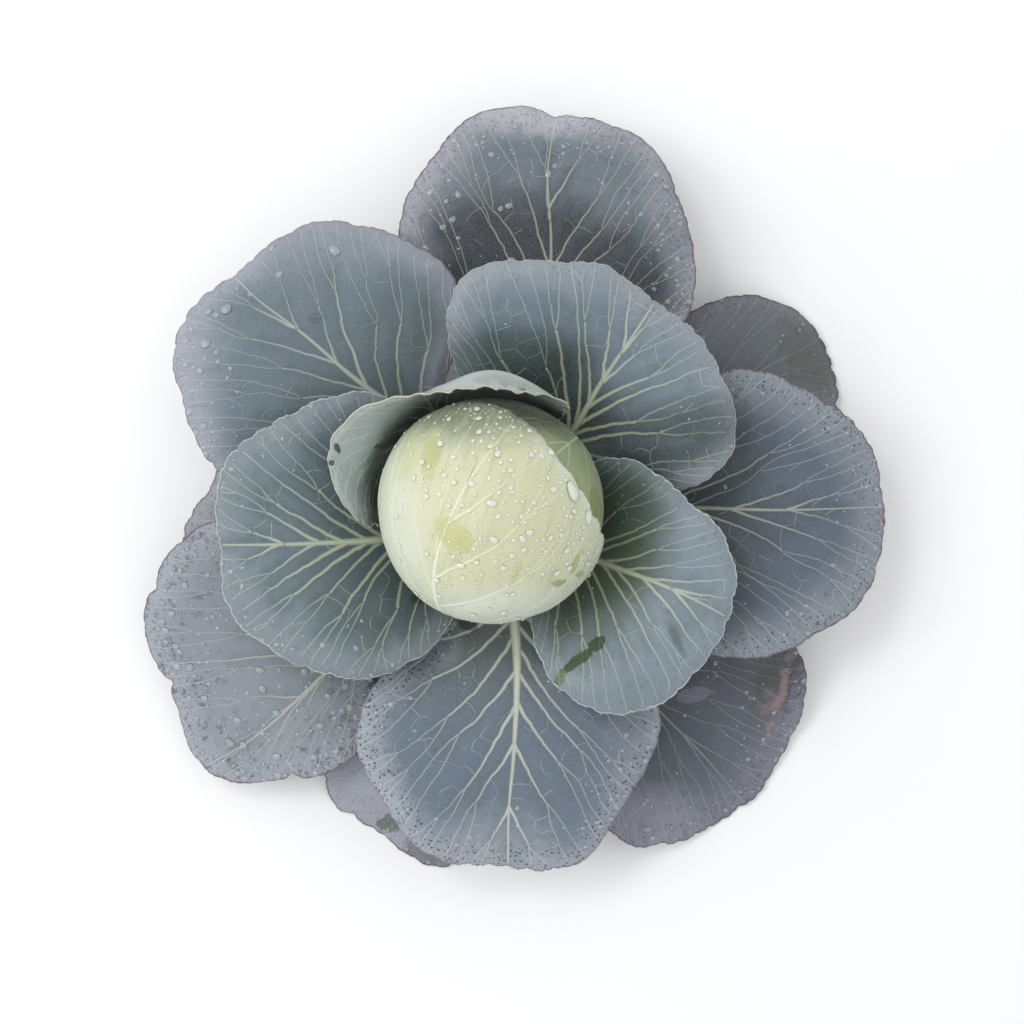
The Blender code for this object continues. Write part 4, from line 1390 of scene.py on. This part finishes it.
@dataclass(frozen=True)
class LeafFinish:
    """A waxy leaf: a dark green body near the stem, partly painted shade, under a pale bloom that is thicker
    towards the margin.

    Attributes:
        deep: colour near the stem's axis, where little bloom lies; on the open leaves it is also painted
            shade of the head and the leaves above.
        middle: colour of the middle of the blade.
        bloom: colour near the margin.
        span: distances from the stem's axis where the first ends and the second begins, in millimetres.
        vein: colour of the wide veins.
        margin: colour of the thin margin.
        rim: how wide the bloom near the margin is, in millimetres.
        specks: how many dark wet specks lie near the margin.
        wet: how much of it is mottled by water.
        patches: marks on it, and patches of painted shade and painted light.
        edge: how wide the margin's own colour is, in millimetres.
        freckles: where fine brown dots lie on it.
        streaks: how much streaks along the head show, pale ones in bloom and dark ones in the first
            patch's colour.
        foot: heights between which the painted shade at its foot, in the hollow by the head, ends, in
            millimetres, if it has one.
        rib_green: how much darker and greener it is close to the veins, partly greener tissue and partly
            painted shade of the quilted relief.
        roughness: how matt it is.
    """

    deep: Colour
    middle: Colour
    bloom: Colour
    span: tuple[float, float]
    vein: Colour
    margin: Colour
    rim: float = 32.0
    specks: float = 0.2
    wet: float = 0.0
    patches: tuple[Patch, ...] = ()
    edge: float = 0.8
    freckles: tuple[Patch, ...] = ()
    streaks: float = 0.0
    foot: tuple[float, float] | None = None
    rib_green: float = 0.35
    roughness: float = 0.5

    def skin(self, graph: Graph) -> tuple[bpy.types.NodeSocket, Wire, Wire]:
        """Return the colour that blade and veins share, painted shade and light included, how much marks and
        painted patches cover it, and its mottled clouds.
        """
        x, y, z = graph.axes()
        clouds = graph.noise(42.0, 2.0, 0.5)
        mottle = graph.noise(8.0, 4.0, 0.62)
        # from the deep colour near the stem's axis to the middle one: on the open leaves this is partly less
        # bloom and partly painted shade of the head and the leaves above
        away = ((x * x + y * y) ** 0.5) * 1000.0 + (clouds - 0.5) * 50.0
        colour = graph.mix(away.step(*self.span), self.deep, self.middle)
        rim = (graph.attribute("to_margin") + (clouds - 0.5) * 16.0).step(self.rim, 1.0)
        colour = graph.mix(rim * 0.8, colour, self.bloom)
        if self.streaks:
            drawn = graph.streaks(5.0, 72.0, 9.0)
            colour = graph.mix(drawn.step(0.42, 0.75) * self.streaks, colour, self.bloom)
            colour = graph.mix(drawn.step(0.5, 0.2) * self.streaks, colour, self.patches[0].colour)
        # painted shade in the hollow at the foot, by the head
        if self.foot:
            foot = (z * 1000.0 + (mottle - 0.5) * 14.0).step(self.foot[1], self.foot[0])
            colour = graph.mix(foot * 0.9, colour, FOOT_SHADE)
        marked = mottle * 0.0
        # marks, and patches of painted shade and painted light on single leaves
        for patch in self.patches:
            mask = graph.spot(patch, x, y, mottle) * (0.65 + clouds * 0.7)
            colour = graph.mix(mask, colour, patch.colour)
            marked = marked.at_least(mask * (1 - patch.softness))
        return colour, marked, mottle

    def blade(self, name: str) -> bpy.types.Material:
        """Return the blade's material."""
        graph = Graph(name)
        colour, marked, mottle = self.skin(graph)
        to_margin = graph.attribute("to_margin")
        to_vein = graph.attribute("to_vein")
        grain = graph.noise(1.3, 2.0, 0.6)
        flecks = graph.noise(2.6, 2.0, 0.6)
        # darker and greener near the veins: partly greener tissue, partly painted shade of the quilted relief
        colour = graph.mix(to_vein.step(9.0, 1.5) * self.rib_green * (1 - marked), colour, self.deep)
        colour = graph.mix((grain - 0.5) * 0.45 + 0.08, colour, self.bloom)
        colour = graph.mix(mottle.step(0.50, 0.72) * 0.20, colour, self.deep)
        near = (mottle * 0.5 + to_margin.step(40.0, 4.0) * 0.4).step(0.40, 0.62)
        wet = graph.dots(3.4, 0.27).at_least(graph.dots(2.1, 0.2)) * near * self.specks
        if self.wet:
            pools = (mottle * 0.7 + flecks * 0.3).step(0.52, 0.62) * to_margin.step(75.0, 5.0)
            wet = wet.at_least(pools * self.wet)
        dark = tuple(0.5 * channel for channel in self.deep[:3]) + (1.0,)
        colour = graph.mix(wet, colour, dark)
        if self.freckles:
            x, y, _ = graph.axes()
            brown = graph.dots(1.9, 0.24) * mottle.step(0.42, 0.6)
            for patch in self.freckles:
                colour = graph.mix(graph.spot(patch, x, y, mottle) * brown, colour, patch.colour)
        edge = (to_margin + (flecks - 0.5) * 1.4).step(self.edge, 0.25 * self.edge)
        colour = graph.mix(edge * (mottle * 1.5), colour, self.margin)
        return graph.shade(
            Base_Color=colour,
            Roughness=self.roughness + (mottle - 0.5) * 0.2 - wet.at_least(marked * 0.5) * 0.22,
            Normal=graph.bump(grain * 0.25 + mottle, 0.5, 0.6), **LEAF_GLOSS)

    def veins(self, name: str) -> bpy.types.Material:
        """Return the veins' material: the blade's colour, paler the wider the vein."""
        graph = Graph(name)
        colour, marked, mottle = self.skin(graph)
        pale = graph.attribute("strength") * (0.9 - marked * 0.6) + (mottle - 0.5) * 0.12
        colour = graph.mix(pale, colour, self.vein)
        return graph.shade(Base_Color=colour, Roughness=self.roughness + (mottle - 0.5) * 0.15,
                           Normal=graph.bump(mottle, 0.4, 0.4), **LEAF_GLOSS)


CREAM = tone(214, 218, 192)
GREY_CREAM = tone(196, 200, 184)
BROWN_EDGE = tone(104, 78, 82)
PALE_EDGE = tone(196, 198, 178)
DEAD = tone(142, 120, 122)
BRUISE = tone(46, 66, 28)
DARK = tone(44, 50, 42)
# painted shade for the hollow between the wrapper's foot and the head
FOOT_SHADE = tone(26, 36, 20)

INNER = LeafFinish(tone(84, 98, 96), tone(114, 130, 138), tone(140, 150, 156), (90, 145),
                   tone(214, 220, 186), PALE_EDGE)
OUTER = LeafFinish(tone(88, 100, 102), tone(110, 122, 134), tone(156, 160, 170), (105, 185), CREAM,
                   tone(132, 110, 116), specks=0.55, edge=1.3)
LOW = LeafFinish(tone(110, 114, 122), tone(136, 140, 150), tone(154, 158, 167), (140, 220), GREY_CREAM,
                 BROWN_EDGE, specks=0.6, edge=1.8)

FINISHES = {
    "leaf_bottom_low": replace(LOW, deep=tone(152, 156, 166), middle=tone(164, 168, 180), patches=(
        Patch((-76, -233), (12, 8), 20, tone(84, 94, 78), 0.9),
        Patch((-50, -256), (20, 12), 0, tone(104, 100, 106), 0.8, 0.3))),
    "leaf_left_low": replace(LOW, middle=tone(146, 150, 160)),
    "leaf_dark_right": replace(LOW, deep=tone(86, 92, 98), middle=tone(98, 103, 108),
                               bloom=tone(108, 110, 118), vein=tone(160, 166, 156),
                               margin=tone(66, 52, 56), patches=(
        Patch((236, 118), (30, 20), -45, tone(82, 88, 82), 0.8, 0.25, 2.0),)),
    "leaf_bottom_right": replace(LOW, deep=tone(70, 75, 84), middle=tone(88, 93, 104),
                                 bloom=tone(126, 128, 142), vein=tone(180, 186, 172), rim=42.0,
                                 span=(170, 250), margin=tone(84, 72, 78),
                                 patches=(
        Patch((118, -226), (32, 24), 0, tone(142, 144, 156), 0.7, 0.6, 0.6),
        Patch((208, -120), (18, 32), -20, tone(70, 72, 70), 0.85, 0.4, 2.2),
        Patch((212, -128), (2.8, 30), -14, DEAD, 0.8, 0.6, 7.0),
        Patch((202, -141), (6, 10), -30, DEAD, 0.5, 0.6, 6.0),
        Patch((146, -133), (14, 5), 10, tone(124, 124, 138), 0.6, 0.2, 2.0))),
    "leaf_lower_left": replace(LOW, wet=0.75, vein=tone(214, 218, 190), deep=tone(108, 116, 118),
                               middle=tone(136, 142, 152), bloom=tone(160, 165, 175)),
    # its dark deep colour, out to about 200 mm from the axis, is painted shadow of the upper right leaf
    "leaf_top": replace(OUTER, deep=tone(42, 48, 56), middle=tone(102, 112, 121), bloom=tone(162, 163, 172),
                        span=(200, 240), margin=tone(98, 66, 70), edge=1.7, specks=0.4, patches=(
        Patch((30, 286), (44, 16), 0, tone(190, 192, 200), 0.6, 0.6, 0.6),
        # painted shade along the right rim, which lies away from the light
        Patch((128, 212), (18, 36), 10, tone(116, 120, 131), 0.6, 0.6, 0.6))),
    "leaf_right": replace(OUTER, deep=tone(60, 71, 73), middle=tone(86, 97, 112), bloom=tone(146, 152, 162),
                          span=(150, 215), rim=44.0, margin=tone(78, 74, 58), edge=1.8, specks=0.7, patches=(
        Patch((281, -3), (3.5, 7), 0, tone(150, 108, 112), 0.8, 0.3),)),
    "leaf_upper_left": replace(OUTER, deep=tone(84, 99, 102), middle=tone(98, 113, 122),
                               bloom=tone(160, 164, 175),
                               span=(115, 185), specks=0.2, vein=tone(210, 214, 192), patches=(
        # painted light along the left rim, which faces the light
        Patch((-215, 120), (26, 46), 10, tone(176, 180, 190), 0.3, 0.7, 0.5),
        Patch((-112, 186), (46, 22), 0, tone(122, 131, 138), 0.55, 0.7, 0.5),
        Patch((-124, 135), (5, 3.5), 20, tone(80, 88, 90), 0.5, 0.5, 2.4),
        Patch((-66, 96), (3, 12), 10, tone(80, 86, 84), 0.5, 0.6, 2.4))),
    "leaf_bottom": replace(OUTER, deep=tone(84, 96, 94), middle=tone(98, 111, 127), bloom=tone(164, 170, 180),
                           span=(95, 155), vein=tone(236, 237, 214), specks=0.9, patches=(
        Patch((62, -165), (34, 54), 10, tone(92, 104, 122), 0.5, 0.7, 0.5),
        Patch((2, -232), (36, 20), 0, tone(166, 172, 178), 0.5, 0.7, 0.5),
        # painted shade along the right rim, which lies away from the light
        Patch((100, -172), (18, 42), 10, tone(118, 124, 134), 0.6, 0.6, 0.5),
        Patch((-19, -81), (8, 4), -25, DARK, 0.85),
        # painted light along the left rim, which faces the light
        Patch((-86, -186), (18, 34), 20, tone(162, 168, 179), 0.5, 0.7, 0.6))),
    # its dark deep colour and all three patches are painted shade: in the recess behind the wrapper near the
    # head, and where the blade curves down at its lower right
    "leaf_upper_right": replace(INNER, rib_green=0.16, deep=tone(44, 57, 51), middle=tone(108, 124, 136),
                                bloom=tone(150, 156, 164), span=(84, 140), patches=(
        Patch((37, 99), (32, 18), 12, tone(32, 44, 38), 0.95, 0.65, 0.4),
        Patch((-4, 106), (40, 16), 5, tone(64, 80, 80), 0.7, 0.7, 0.5),
        Patch((124, 49), (44, 22), 20, tone(46, 60, 66), 0.9, 0.65, 0.5))),
    "leaf_left": replace(INNER, margin=tone(214, 218, 210), edge=1.0, deep=tone(66, 82, 84),
                         middle=tone(108, 124, 132), bloom=tone(132, 141, 148), span=(85, 150), patches=(
        Patch((-53, -61), (4.5, 3.5), 20, DARK, 0.9, 0.3, 1.6),
        Patch((-66, -50), (7, 3.5), 40, tone(70, 82, 70), 0.6, 0.5, 2.4))),
    "leaf_lower_right": replace(INNER, rib_green=0.22, margin=tone(222, 226, 216), edge=1.1,
                                deep=tone(74, 89, 66), middle=tone(127, 140, 152), bloom=tone(134, 147, 156),
                                span=(88, 132), patches=(
        # a darker green area by the head, partly its own green and partly painted shade of the head
        Patch((86, 6), (32, 30), -20, tone(60, 76, 60), 0.8, 0.7, 0.5),
        Patch((60, -100), (15, 3.6), 36, BRUISE, 1.2, 0.15, 1.4),
        Patch((71, -90), (6, 4), 30, BRUISE, 1.2, 0.15, 1.7),
        Patch((84, -122), (28, 14), 10, tone(112, 125, 130), 0.55, 0.7, 0.5),
        Patch((46, -114), (7, 3), 60, tone(96, 112, 70), 0.9, 0.3),
        Patch((125, -86), (2.5, 11), 25, tone(74, 86, 76), 0.6, 0.6, 3.0))),
    "curled_wrapper_leaf": replace(INNER, deep=tone(132, 147, 146), middle=tone(170, 182, 184),
                                   bloom=tone(174, 182, 182), span=(76, 96), rim=20.0, edge=0.6,
                                   vein=tone(232, 237, 212), margin=tone(206, 205, 164),
                                   # the foot carries painted shade in the hollow by the head
                                   foot=(94, 118), patches=(
        Patch((14, 84), (64, 11), 0, tone(178, 184, 178), 0.7, 0.5, 0.5),
        Patch((-103, 43), (2.6, 3), 20, tone(40, 56, 30), 1.1, 0.15, 2.4),
        Patch((-107, 33), (2.2, 2.0), 0, tone(40, 56, 30), 1.1, 0.15, 2.4),
        Patch((-107, 16), (1.8, 2.6), 0, tone(56, 70, 44), 1.0, 0.15, 2.4),
        Patch((-77, 45), (3.4, 1.2), 15, tone(56, 72, 44), 0.95, 0.2, 2.4))),
    "head_leaf_front": LeafFinish(
        tone(205, 207, 166), tone(200, 205, 178), tone(214, 217, 200), (34, 84), tone(252, 253, 246),
        tone(228, 229, 196), rim=12.0, specks=0.0, rib_green=0.0, roughness=0.42, streaks=0.22,
        freckles=(Patch((-24, -38), (26, 22), 20, tone(120, 112, 78), 0.75, 0.5, 1.0),
                  Patch((22, -30), (26, 18), 20, tone(132, 126, 90), 0.6, 0.6, 1.0),
                  Patch((-30, 34), (22, 16), 20, tone(132, 126, 90), 0.5, 0.6, 1.0)),
        patches=(
            # a greener top, darkened further by painted shadow of the wrapper
            Patch((-8, 72), (72, 25), 0, tone(88, 99, 64), 0.85, 0.6, 0.4),
            Patch((-62, -14), (18, 50), 0, tone(216, 219, 202), 0.65, 0.7, 0.4),
            Patch((8, -66), (50, 16), 0, tone(218, 221, 208), 0.75, 0.7, 0.4),
            Patch((-38, 38), (15, 6.5), 80, tone(176, 180, 116), 0.8, 0.3, 1.0),
            Patch((-53, 38), (17, 7), 80, tone(186, 190, 132), 0.6, 0.6, 1.0),
            Patch((-23, -15), (14, 9), -40, tone(190, 192, 126), 0.8, 0.12, 1.1),
            Patch((44, -46), (6.0, 2.4), 20, tone(140, 146, 78), 0.85, 0.3, 2.4),
            Patch((55, -33), (9.0, 2.2), 66, tone(158, 164, 98), 0.8, 0.3, 2.4),
            Patch((58, -41), (3.5, 2.0), 40, tone(152, 158, 92), 0.8, 0.3, 2.4),
            Patch((17, -38), (9, 2.0), 70, tone(186, 188, 126), 0.6, 0.4, 2.0))),
    "head_leaf_back": LeafFinish(
        tone(150, 162, 118), tone(152, 164, 124), tone(170, 180, 150), (50, 84), tone(220, 224, 198),
        tone(196, 202, 170), rim=10.0, specks=0.0, rib_green=0.0, roughness=0.45, streaks=0.2, patches=(
            # painted shade under the wrapper, near-black where the back leaf meets it
            Patch((52, 50), (40, 16), -48, tone(112, 126, 90), 0.6, 0.7, 0.4),
            Patch((20, 72), (48, 15), -20, tone(24, 34, 18), 1.0, 0.55, 0.4),
            Patch((69, 4), (15, 4.5), 100, tone(128, 136, 78), 0.85, 0.15),)),
    "heart": LeafFinish(
        tone(190, 198, 150), tone(200, 206, 166), tone(210, 214, 186), (40, 80), tone(222, 226, 202),
        tone(216, 220, 190), rim=12.0, specks=0.0, roughness=0.45),
}


@dataclass(frozen=True)
class Dew:
    """Drops of water, whose bending of light is painted: painted light within, and a dark ring of painted
    shade where the drop turns down to the leaf.

    Attributes:
        ring: colour of the ring of painted shade.
        within: colour of the painted light inside it.
        opacity: how opaque the ring and the crown are.
    """

    ring: Colour
    within: Colour
    opacity: tuple[float, float]

    def material(self, name: str) -> bpy.types.Material:
        """Return the drops' material."""
        graph = Graph(name)
        crown = graph.attribute("crown")
        # painted shade at the ring, painted light within
        colour = graph.mix(crown.step(0.15, 0.5), self.ring, self.within)
        clearer = (self.opacity[0] - self.opacity[1]) * crown.step(0.2, 0.9)
        return graph.shade(Base_Color=colour, Alpha=self.opacity[0] - clearer, Roughness=0.04, IOR=1.33,
                           Coat_Weight=1.0, Coat_Roughness=0.02, Coat_IOR=1.9)


LEAF_DEW = Dew(tone(62, 72, 78), tone(214, 222, 228), (0.48, 0.34))
HEAD_DEW = Dew(tone(112, 118, 84), tone(250, 251, 244), (0.50, 0.62))


# --- the stem ---------------------------------------------------------------------------------------------
@dataclass(frozen=True)
class StemFinish:
    """The stump: pale skin with leaf scars, and a moist cut face with rings."""

    skin: Colour = tone(176, 182, 146)
    scar: Colour = tone(140, 140, 104)
    pith: Colour = tone(222, 224, 200)

    def material(self) -> bpy.types.Material:
        """Return the stump's material."""
        graph = Graph("cut_stem_skin")
        x, y, z = graph.axes()
        radius = (x * x + y * y) ** 0.5
        clouds = graph.noise(6.0, 4.0, 0.6)
        fibres = graph.noise(1.2, 3.0, 0.7)
        side = graph.mix(clouds.step(0.45, 0.7), self.skin, self.scar)
        ring = (radius + (clouds - 0.5) * 0.002).step(0.0105, 0.0125) * (radius.step(0.0155, 0.0135))
        face = graph.mix(ring * 0.7, self.pith, self.scar)
        face = graph.mix(fibres.step(0.55, 0.7) * 0.3, face, self.skin)
        colour = graph.mix(z.step(0.0012, 0.0004), side, face)
        return graph.shade(Base_Color=colour, Roughness=0.5 + (fibres - 0.5) * 0.2,
                           Normal=graph.bump(clouds + fibres * 0.4, 0.5, 0.6))


@dataclass
class Stem:
    """The cut stump that carries the leaves, in millimetres.

    Attributes:
        around: how many points a ring has.
        rows: how many rows of rings its side has.
        foot: radius at the cut face, before the skin's inset.
        face: radius of the flat part of the cut face.
        face_rings: how many rings that part has.
        inset: how far the skin lies inside the solid.
        foot_bevel: how far the edge of the cut face is rounded.
        crest_bevel: the same, at the top.
        crest_inset: how far inside the top's radius its last ring lies.
        crest_drop: how far below the solid's top that ring lies.
    """

    around: int = 96
    rows: int = 40
    foot: float = 17.0
    face: float = 16.4
    face_rings: int = 6
    inset: float = 0.5
    foot_bevel: float = 0.6
    crest_bevel: float = 1.2
    crest_inset: float = 2.2
    crest_drop: float = 0.1

    def side_ring(self, share: float, top: float, height: float) -> np.ndarray:
        """Return the points of one ring of the side, with its leaf scars.

        Args:
            share: how far up the stem it lies, from 0 to 1.
            top: the solid's radius at the top.
            height: the solid's height.
        """
        turn = np.linspace(0, 2 * math.pi, self.around, endpoint=False)
        radius = self.foot + (top - self.foot) * float(smooth_step(0.08, 0.5, np.array([share]))[0])
        scars = np.maximum(np.sin(2.5 * turn + 9.5 * share), 0) ** 3 * np.sin(18 * share) ** 2
        rough = 0.25 * np.sin(7 * turn + 11 * share) + 0.15 * np.sin(19 * turn - 5 * share)
        bevel = (self.foot_bevel * (1 - min(share / 0.04, 1))
                 + self.crest_bevel * max((share - 0.95) / 0.05, 0))
        out = radius - self.inset - bevel + 0.5 * scars + rough * min(1, 4 * share)
        level = np.full(self.around, share * height)
        return np.column_stack((out * np.cos(turn), out * np.sin(turn), level))

    def build(self) -> None:
        """Make the stump with its leaf scars and its cut face."""
        low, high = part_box("cut_stem")
        height = (high[2] - low[2]) / MM
        top = 0.5 * (high[0] - low[0]) / MM
        crest_height = height - self.crest_drop
        loops = [ring_at(self.face * step / self.face_rings, self.around, 0.0)
                 for step in range(1, self.face_rings + 1)]
        loops += [self.side_ring(row / self.rows, top, height) for row in range(self.rows + 1)]
        loops.append(ring_at(top - self.crest_inset, self.around, crest_height))
        vertices = np.concatenate(loops + [np.array([[0.0, 0.0, 0.0], [0.0, 0.0, crest_height]])])
        faces = bands(0, len(loops), self.around)
        bottom, crest = len(vertices) - 2, len(vertices) - 1
        faces += [(second, first, tip) for first, second, tip in fan(0, bottom, self.around)]
        faces += fan((len(loops) - 1) * self.around, crest, self.around)
        mesh = mesh_of("cut_stump", vertices, faces)
        dress("cut_stump", mesh, StemFinish().material(), "cut_stem")


def ring_at(radius: float, around: int, height: float) -> np.ndarray:
    """Return points of a level circle about the stem's axis."""
    turn = np.linspace(0, 2 * math.pi, around, endpoint=False)
    return np.column_stack((radius * np.cos(turn), radius * np.sin(turn), np.full(around, height)))


# --- the assemblies ---------------------------------------------------------------------------------------
LEAF_SLOTS = {
    "leaf_bottom_low": Slot.LOW, "leaf_left_low": Slot.LOW, "leaf_dark_right": Slot.LOW,
    "leaf_bottom_right": Slot.LOW, "leaf_lower_left": Slot.LOW, "leaf_top": Slot.OUTER,
    "leaf_right": Slot.OUTER, "leaf_upper_left": Slot.OUTER, "leaf_bottom": Slot.OUTER,
    "leaf_upper_right": Slot.INNER, "leaf_left": Slot.INNER, "leaf_lower_right": Slot.INNER,
}


@dataclass
class Rosette:
    """The open leaves around the head, and the wrapper leaf that stands beside it."""

    dew_finish: bpy.types.Material
    puff: float = 1.3

    def build(self) -> None:
        """Make every leaf."""
        for index, leaf in enumerate(LEAVES):
            sheet = Sheet(leaf.name, OPEN_FORMS[index], leaf.veins, leaf.dew, self.puff)
            sheet.build(FINISHES[leaf.name], self.dew_finish, LEAF_SLOTS[leaf.name])
        wrapper = Sheet("curled_wrapper_leaf", WrapperForm(), WRAPPER_VEINS, WRAPPER_DEW, self.puff)
        wrapper.build(FINISHES[wrapper.name], self.dew_finish, Slot.INNER)


@dataclass
class Head:
    """The ball of packed leaves."""

    dew_finish: bpy.types.Material
    puff: float = 0.9

    def build(self) -> None:
        """Make the two head leaves and the heart."""
        for leaf, slot in ((FRONT_LEAF, Slot.HEAD), (BACK_LEAF, Slot.HEAD), (HEART_LEAF, Slot.HEART)):
            sheet = Sheet(leaf.name, HeadForm(leaf), leaf.veins, leaf.dew, self.puff, HEAD_LEAF_THICKNESS)
            sheet.build(FINISHES[leaf.name], self.dew_finish, slot)


@dataclass(frozen=True)
class Lamp:
    """A soft square lamp that is aimed at the cabbage.

    Attributes:
        name: its name.
        place: its place, in metres.
        size: the length of its sides, in metres.
        power: its power, in watts.
    """

    name: str
    place: tuple[float, float, float]
    size: float
    power: float

    def build(self) -> None:
        """Add the lamp."""
        lamp = bpy.data.lights.new(self.name, "AREA")
        lamp.size = self.size
        lamp.energy = self.power
        panel = bpy.data.objects.new(self.name, lamp)
        panel.location = self.place
        aim = Vector((0.0, 0.0, 0.08)) - panel.location
        panel.rotation_euler = aim.to_track_quat("-Z", "Y").to_euler()
        bpy.context.scene.collection.objects.link(panel)


@dataclass
class Studio:
    """The floor, in millimetres, and the light and the camera, in metres."""

    camera_height: float = 1.110
    camera_side: float = 0.0136
    lens: float = 51.7
    daylight: float = 0.85
    floor_half_width: float = 4000.0
    floor_level: float = -0.2       # just below the cut face
    lamps: tuple[Lamp, ...] = (Lamp("window", (-2.0, 0.3, 2.2), 1.2, 18.0),
                               Lamp("glint", (-0.6, 0.6, 1.5), 0.4, 4.0))

    def camera(self) -> None:
        """Add the camera, which looks straight down."""
        eye = bpy.data.objects.new("camera", bpy.data.cameras.new("camera"))
        eye.data.lens = self.lens
        eye.data.sensor_width = 36.0
        eye.location = (self.camera_side, 0.0, self.camera_height)
        bpy.context.scene.collection.objects.link(eye)
        bpy.context.scene.camera = eye

    def floor(self) -> None:
        """Add the pale floor."""
        mesh, u, v = grid_mesh("floor", (2, 2))
        level = np.full(len(u), self.floor_level)
        set_points(mesh, np.column_stack((self.floor_half_width * u, self.floor_half_width * v, level)))
        graph = Graph("pale_floor")
        clouds = graph.noise(120.0, 2.0, 0.5)
        colour = graph.mix(clouds * 0.3, tone(253, 253, 253), tone(249, 249, 250))
        floor = bpy.data.objects.new("floor", mesh)
        mesh.materials.append(graph.shade(Base_Color=colour, Roughness=0.85 + (clouds - 0.5) * 0.1))
        bpy.context.scene.collection.objects.link(floor)

    def build(self) -> None:
        """Set the stage."""
        self.camera()
        self.floor()
        world = bpy.data.worlds.new("daylight")
        world.use_nodes = True
        sky = world.node_tree.nodes["Background"]
        sky.inputs["Color"].default_value = (0.97, 0.985, 1.0, 1.0)
        sky.inputs["Strength"].default_value = self.daylight
        bpy.context.scene.world = world
        for lamp in self.lamps:
            lamp.build()
        bpy.context.scene.view_settings.view_transform = "Standard"


def main() -> None:
    """Dress the cabbage."""
    logging.basicConfig(level=logging.INFO, format="%(name)s: %(message)s")
    Studio().build()
    Stem().build()
    Rosette(LEAF_DEW.material("leaf_dew")).build()
    Head(HEAD_DEW.material("head_dew")).build()


if __name__ == "__main__":
    main()
